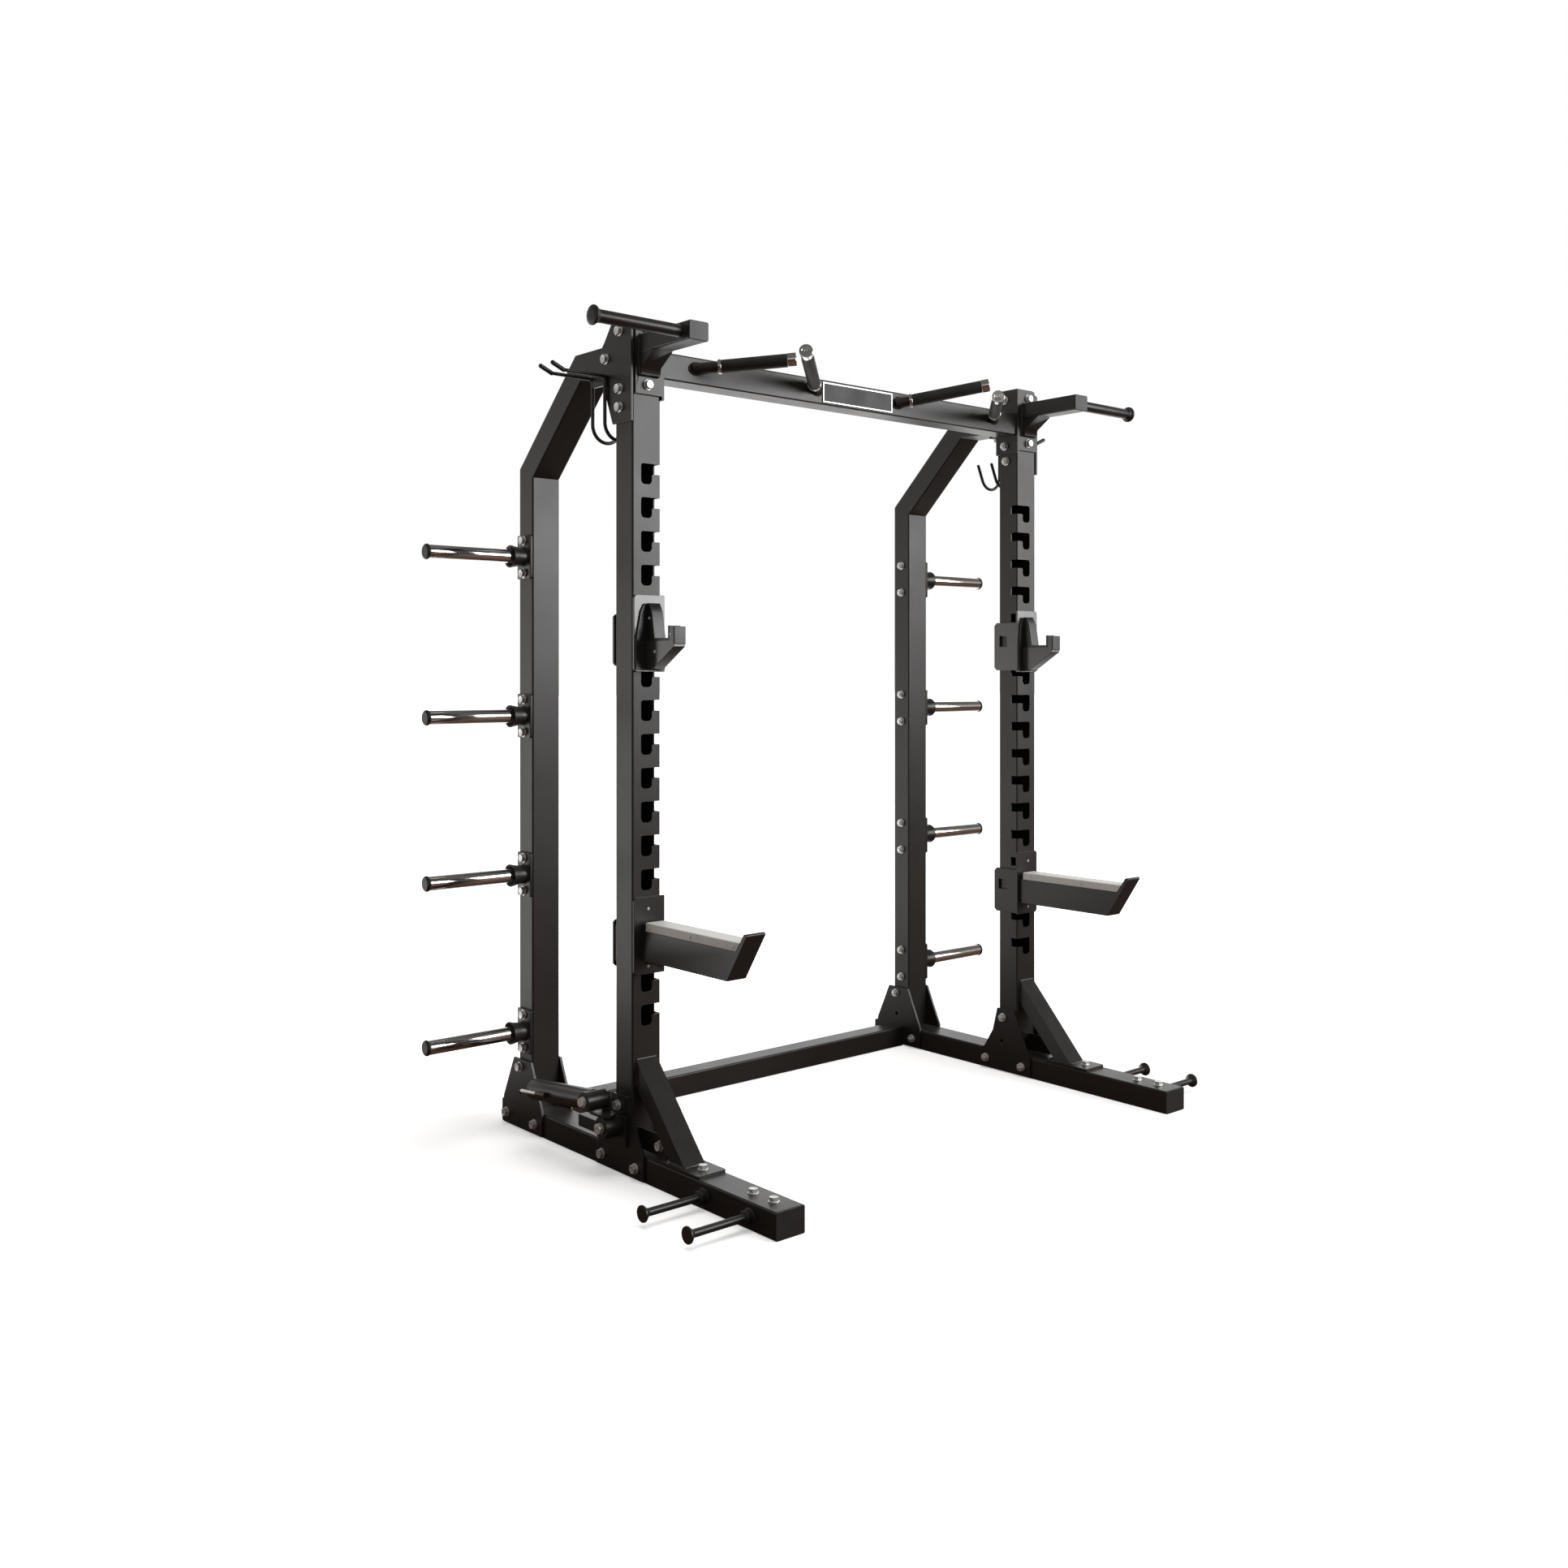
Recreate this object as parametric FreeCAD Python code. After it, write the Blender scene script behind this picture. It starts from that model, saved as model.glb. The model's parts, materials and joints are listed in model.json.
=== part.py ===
import FreeCAD, Part
import math
import os

from FreeCAD import Vector

# Half rack ("power cage") for barbell training, in millimetres, +Z up.
# Front (J-cups, safety arms, open rail ends) faces -Y; left is -X and right is +X.
# Every dimension below takes y from the front faces of the front posts; CENTRE_Y moves the finished
# pieces so that the origin is on the floor, in the middle of the rack's footprint.

CENTRE_Y = -37.0

# Layout
POST_X = 630.0            # half the spacing of the left and right frames
TUBE_W = 74.0             # width of rails and posts across the rack
TUBE_WALL = 3.0
TUBE_R = 4.0              # outside corner radius of the square tubes
PLATE = 6.0               # thickness of gussets, flanges and wrap plates
RAIL_H = 56.0
RAIL_FRONT = -472.0
RAIL_REAR = 546.0
END_CAP = 4.0
FRONT_D = 64.0            # front post, front to back
POST_TOP = 1846.0
RACK_TOP = 1852.0
REAR_Y = 409.0            # front face of the rear post
REAR_D = 60.0             # rear post, front to back
TOP_RUN_Z = 1774.0        # centre of the rear post's level top run
TOP_MITRE_Y = 215.0       # where the sloping run meets the level run
BEND_Z = 1559.0           # where the rear post leans forward

# J-slots
SLOT_COUNT = 17
SLOT_TOP = 1539.0
SLOT_PITCH = 73.2
SLOT_W = 29.0
SLOT_DROP = 45.0          # full height of the upright leg of the slot
SLOT_ENTRY_H = 23.0
SLOT_ENTRY_D = 22.0

# Cross pieces
CROSS_Y = 428.0
CROSS_D = 60.0
BEAM_Z = 1757.0
BEAM_H = 60.0
BEAM_D = 65.0
NAME_PLATE = (234.0, 2.0, 50.0)

# Top bracket
ARM_W = 50.0
ARM_H = 40.0
ARM_Z = 1794.0
ARM_FRONT = -183.0
BAR_Y = -157.0
BAR_R = 13.5
BAR_END = 866.0

# Wrap brackets that ride in the slots
GAP = 0.5                 # play between a wrap bracket and its post
WRAP_REAR = 76.0
LUG_W = 25.0
LUG_H = 20.0
LUG_D = 17.5
JCUP_Z = (1088.0, 1254.0, 1093.0, 1222.0)    # front plate low, high; side plate low, high
JCUP_SLOTS = (4, 5)
SAFETY_Z = (435.0, 602.0, 437.0, 555.0)
SAFETY_SLOTS = (13, 14)
HOOK_X = (607.0, 637.0)
HOOK_FLOOR = 1160.0
SAFETY_X = (595.0, 645.0)
SAFETY_ARM_Z = (466.0, 530.0)
STRIP_H = 19.0

# Plate storage pegs, outwards from the rear posts
PEG_Z = (1360.0, 984.0, 609.0, 238.0)
PEG_R = 16.5
PEG_END = 922.0
PEG_CAP = 8.0
PEG_CAP_R = 18.0
PEG_BOLT = 39.0
PEG_FLANGE_H = 104.0

# Band pegs on the rails
BAND_Y = (-250.0, -396.0)
BAND_Z = 28.0
BAND_R = 8.0
BAND_END = 815.0

# Landmine, left side only (drawn on the right, then mirrored)
LM_X = 722.0              # centre of the sleeve
LM_TILT = (68.0, 164.0)   # y, z of the tilt axis
LM_SWIVEL = (705.0, 42.0) # x, y of the swivel axis
LM_DROOP = 6.5            # degrees the stored sleeve hangs below level
LM_SLEEVE_R = 23.0
LM_BORE_R = 19.0
LM_LENGTH = 240.0
LM_CROSS_R = 21.0
LM_BASE_Z = (132.5, 138.0)

# Fasteners
WASHER_R = 11.5
WASHER_H = 2.0
HEX_R = 10.2              # across the corners of the head, as a radius
HEX_H = 8.0
SHANK_R = 5.0
HOLE_R = 5.3

INNER = POST_X - TUBE_W / 2
OUTER = POST_X + TUBE_W / 2
IN_PLATE = INNER - PLATE
OUT_PLATE = OUTER + PLATE

NODES = {}
HOLES = {}


def block(x0, x1, y0, y1, z0, z1):
    return Part.makeBox(x1 - x0, y1 - y0, z1 - z0, Vector(x0, y0, z0))


def rod(start, end, radius):
    run = end - start
    return Part.makeCylinder(radius, run.Length, start, run)


def cone(start, end, r0, r1):
    run = end - start
    return Part.makeCone(r0, r1, run.Length, start, run)


def side_profile(points, x0, x1):
    """A solid with an outline given as (y, z) points, from x0 to x1."""
    ring = [Vector(x0, y, z) for y, z in points]
    face = Part.Face(Part.makePolygon(ring + ring[:1]))
    return face.extrude(Vector(x1 - x0, 0, 0))


def front_profile(points, y0, y1):
    """A solid with an outline given as (x, z) points, from y0 to y1."""
    ring = [Vector(x, y0, z) for x, z in points]
    face = Part.Face(Part.makePolygon(ring + ring[:1]))
    return face.extrude(Vector(0, y1 - y0, 0))


def runs_along(edge, axis):
    if edge.Curve.TypeId != "Part::GeomLine":
        return False
    ends = edge.Vertexes
    run = ends[-1].Point - ends[0].Point
    return run.Length > 1e-6 and abs(run.normalize().dot(axis)) > 0.999


def eased(shape, radius, axis):
    """The shape with its straight edges along an axis rounded."""
    return shape.makeFillet(radius, [e for e in shape.Edges if runs_along(e, axis)])


X_AXIS = Vector(1, 0, 0)
Y_AXIS = Vector(0, 1, 0)
Z_AXIS = Vector(0, 0, 1)


def square_tube(x, y, z, axis, wall=TUBE_WALL):
    """A hollow tube in the box of the three (low, high) pairs, open at both ends along the axis."""
    outer = eased(block(*x, *y, *z), TUBE_R, axis)
    inner_box = []
    for pair, along in ((x, axis.x), (y, axis.y), (z, axis.z)):
        inset = -1.0 if along else wall
        inner_box += [pair[0] + inset, pair[1] - inset]
    return outer.cut(block(*inner_box))


def post_tube(y0, depth, z0, z1):
    return square_tube((INNER, OUTER), (y0, y0 + depth), (z0, z1), Z_AXIS)


def one(shapes):
    joined = shapes[0]
    for shape in shapes[1:]:
        joined = joined.fuse(shape)
    return joined.removeSplitter()


def group(shapes):
    return Part.makeCompound(shapes)


def mirrored(shape):
    return shape.mirror(Vector(0, 0, 0), X_AXIS)


def both_sides(name, shape):
    NODES[name + "_right"] = shape
    NODES[name + "_left"] = mirrored(shape)


# ---------------------------------------------------------------- fasteners

def hex_prism(point, direction, height):
    flat = Part.makePolygon([
        Vector(HEX_R * math.cos(k * math.pi / 3), HEX_R * math.sin(k * math.pi / 3), 0) for k in range(7)
    ])
    prism = Part.Face(flat).extrude(Vector(0, 0, height))
    turned_corners = Part.makeCone(HEX_R + height - 1.4, HEX_R - 1.4, height)
    prism = prism.common(turned_corners)
    prism.Placement = FreeCAD.Placement(point, FreeCAD.Rotation(Z_AXIS, direction))
    return prism


def bolt(point, direction, nodes, shank=11.0):
    """A washered hex bolt whose washer lies on the face at the point; drills the nodes it passes through."""
    direction = direction.normalize()
    washer = rod(point, point + direction * WASHER_H, WASHER_R)
    head = hex_prism(point + direction * WASHER_H, direction, HEX_H)
    body = rod(point - direction * shank, point + direction * WASHER_H, SHANK_R)
    drill = rod(point - direction * (shank + 1), point + direction, HOLE_R)
    for name in nodes:
        HOLES.setdefault(name, []).append(drill)
    return one([washer, head, body])


def side_bolts(places, x, outward, nodes, shank=11.0):
    """Bolts at (y, z) places on a face at x, for the right-hand side."""
    return [bolt(Vector(x, y, z), Vector(outward, 0, 0), nodes, shank) for y, z in places]


# ---------------------------------------------------------------- base

def base_rail():
    return square_tube((INNER, OUTER), (RAIL_FRONT, RAIL_REAR), (0, RAIL_H), Y_AXIS)


def rail_cap(face_y, outward):
    """Moulded plug: a rim that covers the tube end and a spigot inside it."""
    rim_y = sorted((face_y, face_y + outward * END_CAP))
    plug_y = sorted((face_y, face_y - outward * 18))
    rim = eased(block(INNER, OUTER, *rim_y, 0, RAIL_H), TUBE_R, Y_AXIS)
    inset = TUBE_WALL + 0.2
    plug = block(INNER + inset, OUTER - inset, *plug_y, inset, RAIL_H - inset)
    return one([rim, plug])


def cross_member():
    return square_tube((-IN_PLATE, IN_PLATE), (CROSS_Y, CROSS_Y + CROSS_D), (0, RAIL_H), X_AXIS)


FOOT_OUTLINE = [(-48, 4), (131, 4), (131, 50), (112, 62), (82, 110), (66, 172), (6, 172), (-14, 112),
                (-42, 68), (-48, 60)]
HEEL_OUTLINE = [(361, 4), (531, 4), (531, 68), (484, 168), (408, 168), (391, 130), (359, 62)]
FOOT_BOLTS = [(108, 29), (-19, 27), (46, 149)]
FOOT_HOLE = (50, 84)
HEEL_BOLTS = [(456, 150), (517, 30), (391, 28)]
HEEL_HOLE = (453, 90)


def clamp_plates(outline, hole):
    """The outer and inner plates that clamp a post to its rail, as two solids."""
    plates = []
    for x0, x1 in ((OUTER, OUT_PLATE), (IN_PLATE, INNER)):
        plate = side_profile(outline, x0, x1)
        bore = rod(Vector(x0 - 1, *hole), Vector(x1 + 1, *hole), HOLE_R)
        plates.append(plate.cut(bore))
    return plates


def brace():
    """The sloping tube in front of a front post, its base plate and its bolted tab."""
    half = 27.0
    face_top = 253.0
    foot_y = -172.0
    foot_z = RAIL_H + PLATE
    slope = (face_top - foot_z) / foot_y
    depth = 52.0              # measured level, front to back
    strut = side_profile([(0, face_top), (foot_y, foot_z), (foot_y + depth, foot_z),
                          (0, face_top + slope * depth)], POST_X - half, POST_X + half)
    inner = side_profile([(-6, face_top - 16), (foot_y + 6, foot_z + 4), (foot_y + depth - 6, foot_z + 4),
                          (-6, face_top + slope * depth + 2)],
                         POST_X - half + TUBE_WALL, POST_X + half - TUBE_WALL)
    hollow = strut.cut(inner.common(block(0, 900, foot_y, -6, foot_z, face_top)))
    sole = eased(block(INNER, OUTER, -231, -96, RAIL_H, foot_z), 5, Z_AXIS)
    tab = side_profile([(0, foot_z), (-96, foot_z), (-96, 78), (-62, 106), (0, 106)], POST_X + 12,
                       POST_X + 12 + PLATE)
    vent = rod(Vector(POST_X, -120, foot_z - 8), Vector(POST_X, -120, foot_z + 8), 4)
    return one([hollow, sole, tab]).cut(vent)


def band_peg(y):
    shaft = rod(Vector(OUTER, y, BAND_Z), Vector(BAND_END, y, BAND_Z), BAND_R)
    collar = rod(Vector(OUTER, y, BAND_Z), Vector(OUTER + 15, y, BAND_Z), 14)
    flare = cone(Vector(BAND_END - 8, y, BAND_Z), Vector(BAND_END, y, BAND_Z), BAND_R, 16)
    disc = rod(Vector(BAND_END, y, BAND_Z), Vector(BAND_END + 5, y, BAND_Z), 17)
    disc = disc.makeFillet(1.8, disc.Edges)
    return one([shaft, collar, flare, disc])


# ---------------------------------------------------------------- posts

def slot_cutter(top_z):
    """The J of one slot: in from the inner face, round the corner, then down the middle of the front."""
    half = SLOT_W / 2
    top_r = 6.0
    throat_r = 4.0
    foot_r = 10.0
    floor = top_z - SLOT_DROP
    entry_low = top_z - SLOT_ENTRY_H
    left, right, edge = POST_X - half, POST_X + half, INNER - 5

    def at(x, z):
        return Vector(x, -1, z)

    reach = math.sqrt(0.5)
    corner = at(right - top_r * (1 - reach), top_z - top_r * (1 - reach))
    throat = at(left - throat_r * (1 - reach), entry_low - throat_r * (1 - reach))
    outline = Part.Wire([
        Part.makeLine(at(edge, top_z), at(right - top_r, top_z)),
        Part.Arc(at(right - top_r, top_z), corner, at(right, top_z - top_r)).toShape(),
        Part.makeLine(at(right, top_z - top_r), at(right, floor + foot_r)),
        Part.Arc(at(right, floor + foot_r), at(right - foot_r * (1 - reach), floor + foot_r * (1 - reach)),
                 at(right - foot_r, floor)).toShape(),
        Part.makeLine(at(right - foot_r, floor), at(left + foot_r, floor)),
        Part.Arc(at(left + foot_r, floor), at(left + foot_r * (1 - reach), floor + foot_r * (1 - reach)),
                 at(left, floor + foot_r)).toShape(),
        Part.makeLine(at(left, floor + foot_r), at(left, entry_low - throat_r)),
        Part.Arc(at(left, entry_low - throat_r), throat, at(left - throat_r, entry_low)).toShape(),
        Part.makeLine(at(left - throat_r, entry_low), at(edge, entry_low)),
        Part.makeLine(at(edge, entry_low), at(edge, top_z)),
    ])
    return Part.Face(outline).extrude(Vector(0, SLOT_ENTRY_D + 1, 0))


def front_post():
    tube = post_tube(0, FRONT_D, RAIL_H, POST_TOP)
    cutters = [slot_cutter(SLOT_TOP - k * SLOT_PITCH) for k in range(SLOT_COUNT)]
    return tube.cut(group(cutters))


def post_plug():
    rim = eased(block(INNER, OUTER, 0, FRONT_D, POST_TOP, RACK_TOP), TUBE_R, Z_AXIS)
    inset = TUBE_WALL + 0.2
    plug = block(INNER + inset, OUTER - inset, inset, FRONT_D - inset, POST_TOP - 10, POST_TOP)
    return one([rim, plug])


def bent_outline(inset, low_z, end_y):
    """Outline of the rear post: upright, sloping and level runs with mitred corners."""
    centre = REAR_Y + REAR_D / 2
    half = REAR_D / 2 - inset
    lean = math.atan2(centre - TOP_MITRE_Y, TOP_RUN_Z - BEND_Z)
    low_step = half * math.tan(lean / 2)
    high_step = half * math.tan((math.pi / 2 - lean) / 2)
    return [
        (centre + half, low_z), (centre + half, BEND_Z + low_step),
        (TOP_MITRE_Y + high_step, TOP_RUN_Z + half), (end_y, TOP_RUN_Z + half),
        (end_y, TOP_RUN_Z - half), (TOP_MITRE_Y - high_step, TOP_RUN_Z - half),
        (centre - half, BEND_Z - low_step), (centre - half, low_z),
    ]


def rear_post():
    outer = side_profile(bent_outline(0, RAIL_H, FRONT_D), INNER, OUTER)
    long_edges = [e for e in outer.Edges if not runs_along(e, X_AXIS)
                  and not (runs_along(e, Y_AXIS) and e.CenterOfMass.z < RAIL_H + 1)
                  and not (runs_along(e, Z_AXIS) and e.CenterOfMass.y < FRONT_D + 1)]
    outer = outer.makeFillet(TUBE_R, long_edges)
    inner = side_profile(bent_outline(TUBE_WALL, RAIL_H - 1, FRONT_D - 1), INNER + TUBE_WALL,
                         OUTER - TUBE_WALL)
    return outer.cut(inner)


# ---------------------------------------------------------------- top

TOP_GUSSET_OUTLINE = [(-3, 1627), (67, 1627), (92, 1689), (111, 1745), (111, 1798), (98, 1812), (70, 1849),
                      (8, 1849), (-3, 1838)]
TOP_GUSSET_BOLTS = [(39, 1826), (92, 1773), (39, 1701), (39, 1661)]
SLEEVE_BOLTS_Z = (1829.0, 1708.0)


def top_bracket():
    """Front plate, inner plate, forward arm and its wedge, welded into one piece."""
    front = front_profile([(IN_PLATE, 1687), (663, 1687), (663, 1838), (650, RACK_TOP),
                           (IN_PLATE, RACK_TOP)], -PLATE, 0)
    inner = side_profile([(-PLATE, 1679), (FRONT_D + 6, 1679), (FRONT_D + 6, 1838), (48, RACK_TOP),
                          (-PLATE, RACK_TOP)], IN_PLATE, INNER)
    arm_x = (POST_X - ARM_W / 2, POST_X + ARM_W / 2)
    arm = square_tube(arm_x, (ARM_FRONT, -PLATE), (ARM_Z - ARM_H / 2, ARM_Z + ARM_H / 2), Y_AXIS)
    low = ARM_Z - ARM_H / 2
    wedge = side_profile([(-PLATE, low), (-PLATE, 1724), (-16, 1727), (-19, 1744), (-62, low)], *arm_x)
    return one([front, inner, arm, wedge])


def arm_cap():
    x = (POST_X - ARM_W / 2, POST_X + ARM_W / 2)
    z = (ARM_Z - ARM_H / 2, ARM_Z + ARM_H / 2)
    rim = eased(block(*x, ARM_FRONT - END_CAP, ARM_FRONT, *z), TUBE_R, Y_AXIS)
    inset = TUBE_WALL + 0.2
    plug = block(x[0] + inset, x[1] - inset, ARM_FRONT, ARM_FRONT + 12, z[0] + inset, z[1] - inset)
    return one([rim, plug])


def handle_bar():
    start = Vector(POST_X + ARM_W / 2, BAR_Y, ARM_Z)
    bar = rod(start, Vector(BAR_END, BAR_Y, ARM_Z), BAR_R)
    flare = cone(start, start + Vector(4, 0, 0), BAR_R + 3, BAR_R)
    return one([bar, flare])


def handle_knob():
    face = Vector(BAR_END, BAR_Y, ARM_Z)
    knob = rod(face, face + Vector(11, 0, 0), 20.5)
    return knob.makeFillet(4.5, knob.Edges)


def beam():
    half = IN_PLATE
    z = (BEAM_Z - BEAM_H / 2, BEAM_Z + BEAM_H / 2)
    return square_tube((-half, half), (0, BEAM_D), z, X_AXIS)


def name_plate():
    width, thick, height = NAME_PLATE
    plate = block(-width / 2, width / 2, -thick, 0, BEAM_Z - height / 2, BEAM_Z + height / 2)
    return eased(plate, 3, Y_AXIS)


# Each pull-up grip, on the right half: where it leaves the beam, where it ends, length of its bare stub.
GRIPS = (
    (Vector(496, 0, 1761), Vector(336, -157, 1779), 50.0),
    (Vector(138, 0, 1760), Vector(305, -153, 1804), 28.0),
)
GRIP_R = 15.0
STUB_R = 13.0
RING_LEN = 8.0
TIP_LEN = 20.0


def grip_pieces(base, tip, stub_length):
    """The welded stub, chrome ring, rubber sleeve and chrome tip of one grip."""
    along = (tip - base).normalize()
    length = (tip - base).Length
    behind_face = block(-700, 700, 0, 60, 1600, 1900)
    stub = rod(base - along * 25, base + along * stub_length, STUB_R).cut(behind_face)
    ring_end = stub_length + RING_LEN
    ring = rod(base + along * stub_length, base + along * ring_end, GRIP_R + 1.5)
    sleeve = rod(base + along * ring_end, base + along * (length - TIP_LEN), GRIP_R)
    tip_cap = rod(base + along * (length - TIP_LEN), tip, GRIP_R + 0.8)
    return stub, ring.makeFillet(1.2, ring.Edges), sleeve, tip_cap.makeFillet(2.5, tip_cap.Edges)


HOOK_ROD_R = 4.0
HOOK_ROD_X = 678.0
HOOK_ROD_Y = (89.0, 137.0)
HOOK_TIP_R = 5.0
HOOK_RUN_Z = 1735.0
HOOK_RUN_END = 784.0
HOOK_ROD_END = HOOK_RUN_END - HOOK_TIP_R - 0.5


def hook_path(y):
    """Tip, level run, bend, drop, and the J that turns back under the post."""
    j_r = 37.0
    j_centre = (HOOK_ROD_X - j_r, 1634.0)
    j_tip = (590.0, 1658.0)
    bend = 9.0
    to_tip = (j_tip[0] - j_centre[0], j_tip[1] - j_centre[1])
    leave = math.atan2(to_tip[1], to_tip[0]) + math.acos(j_r / math.hypot(*to_tip))

    def at(x, z):
        return Vector(x, y, z)

    def on_j(angle):
        return at(j_centre[0] + j_r * math.cos(angle), j_centre[1] + j_r * math.sin(angle))

    corner = bend * (1 - math.sqrt(0.5))
    return Part.Wire([
        Part.makeLine(at(HOOK_ROD_END, HOOK_RUN_Z), at(HOOK_ROD_X + bend, HOOK_RUN_Z)),
        Part.Arc(at(HOOK_ROD_X + bend, HOOK_RUN_Z), at(HOOK_ROD_X + corner, HOOK_RUN_Z - corner),
                 at(HOOK_ROD_X, HOOK_RUN_Z - bend)).toShape(),
        Part.makeLine(at(HOOK_ROD_X, HOOK_RUN_Z - bend), on_j(0)),
        Part.Arc(on_j(0), on_j((leave - 2 * math.pi) / 2), on_j(leave)).toShape(),
        Part.makeLine(on_j(leave), at(*j_tip)),
    ])


def accessory_hook():
    rods = []
    for y in HOOK_ROD_Y:
        ring = Part.Wire(Part.makeCircle(HOOK_ROD_R, Vector(HOOK_ROD_END, y, HOOK_RUN_Z), X_AXIS))
        rods.append(hook_path(y).makePipeShell([ring], True, False))
        rods.append(Part.makeSphere(HOOK_ROD_R, Vector(590, y, 1658)))
    hanger = block(HOOK_ROD_X - 3, HOOK_ROD_X + 3, HOOK_ROD_Y[0], HOOK_ROD_Y[1], 1714, 1738)
    top = TOP_RUN_Z - REAR_D / 2
    flange = block(POST_X + 5, HOOK_ROD_X + 3, 114, 136, 1738, top)
    return one(rods + [hanger, flange])


def hook_tips():
    tips = []
    for y in HOOK_ROD_Y:
        low = Vector(HOOK_RUN_END, y, HOOK_RUN_Z)
        high = low + Vector(27, 0, 12)
        tips.append(one([rod(low, high, HOOK_TIP_R), Part.makeSphere(HOOK_TIP_R, low),
                         Part.makeSphere(HOOK_TIP_R, high)]))
    return tips


# ---------------------------------------------------------------- storage pegs

def peg_parts(z):
    y = REAR_Y + REAR_D / 2

    def at(x):
        return Vector(x, y, z)

    flange = eased(block(OUTER, OUT_PLATE, REAR_Y + 1, REAR_Y + REAR_D - 1, z - PEG_FLANGE_H / 2,
                         z + PEG_FLANGE_H / 2), 5, X_AXIS)
    hub = rod(at(OUT_PLATE), at(OUT_PLATE + 20), 22)
    dish = cone(at(OUT_PLATE + 16), at(OUT_PLATE + 38), 22, 26.5)
    recess = cone(at(OUT_PLATE + 28), at(OUT_PLATE + 38.1), PEG_R + 0.2, 24.5)
    bore = rod(at(OUT_PLATE - 1), at(OUT_PLATE + 40), PEG_R)
    collar = one([hub, dish]).cut(bore).cut(recess)
    tube = rod(at(OUT_PLATE), at(PEG_END), PEG_R).cut(rod(at(OUT_PLATE - 1), at(PEG_END + 1), PEG_R - 3))
    cap = rod(at(PEG_END), at(PEG_END + PEG_CAP), PEG_CAP_R)
    cap = cap.makeFillet(2.5, cap.Edges)
    return flange, collar, tube, cap


# ---------------------------------------------------------------- wrap brackets

def wrap_bracket(levels, slots, window):
    """Front, inner and rear plates round a front post, with lugs that sit in two J-slots."""
    front_low, front_high, side_low, side_high = levels
    front = block(IN_PLATE - GAP, OUTER, -PLATE - GAP, -GAP, front_low, front_high)
    outer_corners = [e for e in front.Edges if runs_along(e, Y_AXIS) and e.CenterOfMass.x > POST_X]
    front = front.makeFillet(9, outer_corners)
    side_x = (IN_PLATE - GAP, INNER - GAP)
    side = side_profile([(-PLATE - GAP, side_low), (WRAP_REAR - 8, side_low), (WRAP_REAR, side_low + 8),
                         (WRAP_REAR, side_high - 8), (WRAP_REAR - 8, side_high), (-PLATE - GAP, side_high)],
                        *side_x)
    side = side.cut(block(side_x[0] - 1, side_x[1] + 1, *window))
    back = front_profile([(side_x[0], side_low + 8), (OUTER - 6, side_low + 8), (OUTER, side_low + 14),
                          (OUTER, side_high - 14), (OUTER - 6, side_high - 8), (side_x[0], side_high - 8)],
                         WRAP_REAR - PLATE, WRAP_REAR)
    lugs = []
    for k in slots:
        rest = SLOT_TOP - k * SLOT_PITCH - SLOT_DROP + 0.3
        lug = block(POST_X - LUG_W / 2, POST_X + LUG_W / 2, -GAP, LUG_D, rest, rest + LUG_H)
        low_edges = [e for e in lug.Edges if runs_along(e, Y_AXIS) and e.CenterOfMass.z < rest + 1]
        lugs.append(lug.makeFillet(12, low_edges))
    return one([front, side, back] + lugs)


def back_pad(levels):
    """The slide pad between the rear plate and the post."""
    return block(INNER + 4, OUTER - 4, FRONT_D + GAP, WRAP_REAR - PLATE, levels[2] + 20, levels[3] - 20)


def j_cup_body():
    wrap = wrap_bracket(JCUP_Z, JCUP_SLOTS, (31, 57, 1157, 1186))
    hook = side_profile([(-PLATE - GAP, 1094), (-32, 1094), (-108, 1141), (-108, 1184), (-92, 1184),
                         (-92, HOOK_FLOOR - 5), (-PLATE - GAP, HOOK_FLOOR - 5)], *HOOK_X)
    return one([wrap, hook])


def j_cup_liner():
    """Shield on the front plate, thick pad above the saddle, and linings of saddle and lip."""
    face = -PLATE - GAP
    shield = front_profile([(588, 1092), (588, 1160), (596, 1219), (604, 1234), (644, 1234), (652, 1219),
                            (665, 1158), (665, 1092)], face - 4, face)
    shield = shield.cut(block(HOOK_X[0], HOOK_X[1], face - 5, face + 1, 1000, HOOK_FLOOR - 5))
    pad = side_profile([(face - 4, 1236), (face - 12, 1236), (-29, 1216), (-38, 1164), (-38, HOOK_FLOOR),
                        (-87, HOOK_FLOOR), (-87, 1186), (-92, 1186), (-92, HOOK_FLOOR - 5),
                        (face - 4, HOOK_FLOOR - 5)], *HOOK_X)
    lip_cover = block(*HOOK_X, -110.5, -108, 1146, 1184)
    return [one([shield, pad]), lip_cover, back_pad(JCUP_Z)]


def side_screws(places, x):
    """Small domed screws at (y, z) places on an outward face at x."""
    screws = []
    for y, z in places:
        dome = Part.makeSphere(4.5, Vector(x - 2.6, y, z)).common(block(x, x + 5, y - 5, y + 5, z - 5, z + 5))
        screws.append(dome)
    return screws


def face_screws(places, y):
    screws = []
    for x, z in places:
        dome = Part.makeSphere(4.5, Vector(x, y + 2.6, z)).common(block(x - 5, x + 5, y - 5, y, z - 5, z + 5))
        screws.append(dome)
    return screws


def safety_slope(z):
    """y of the front face of the turned-up end plate at a height."""
    return -297 - 66 * (z - SAFETY_ARM_Z[0]) / 102


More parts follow.
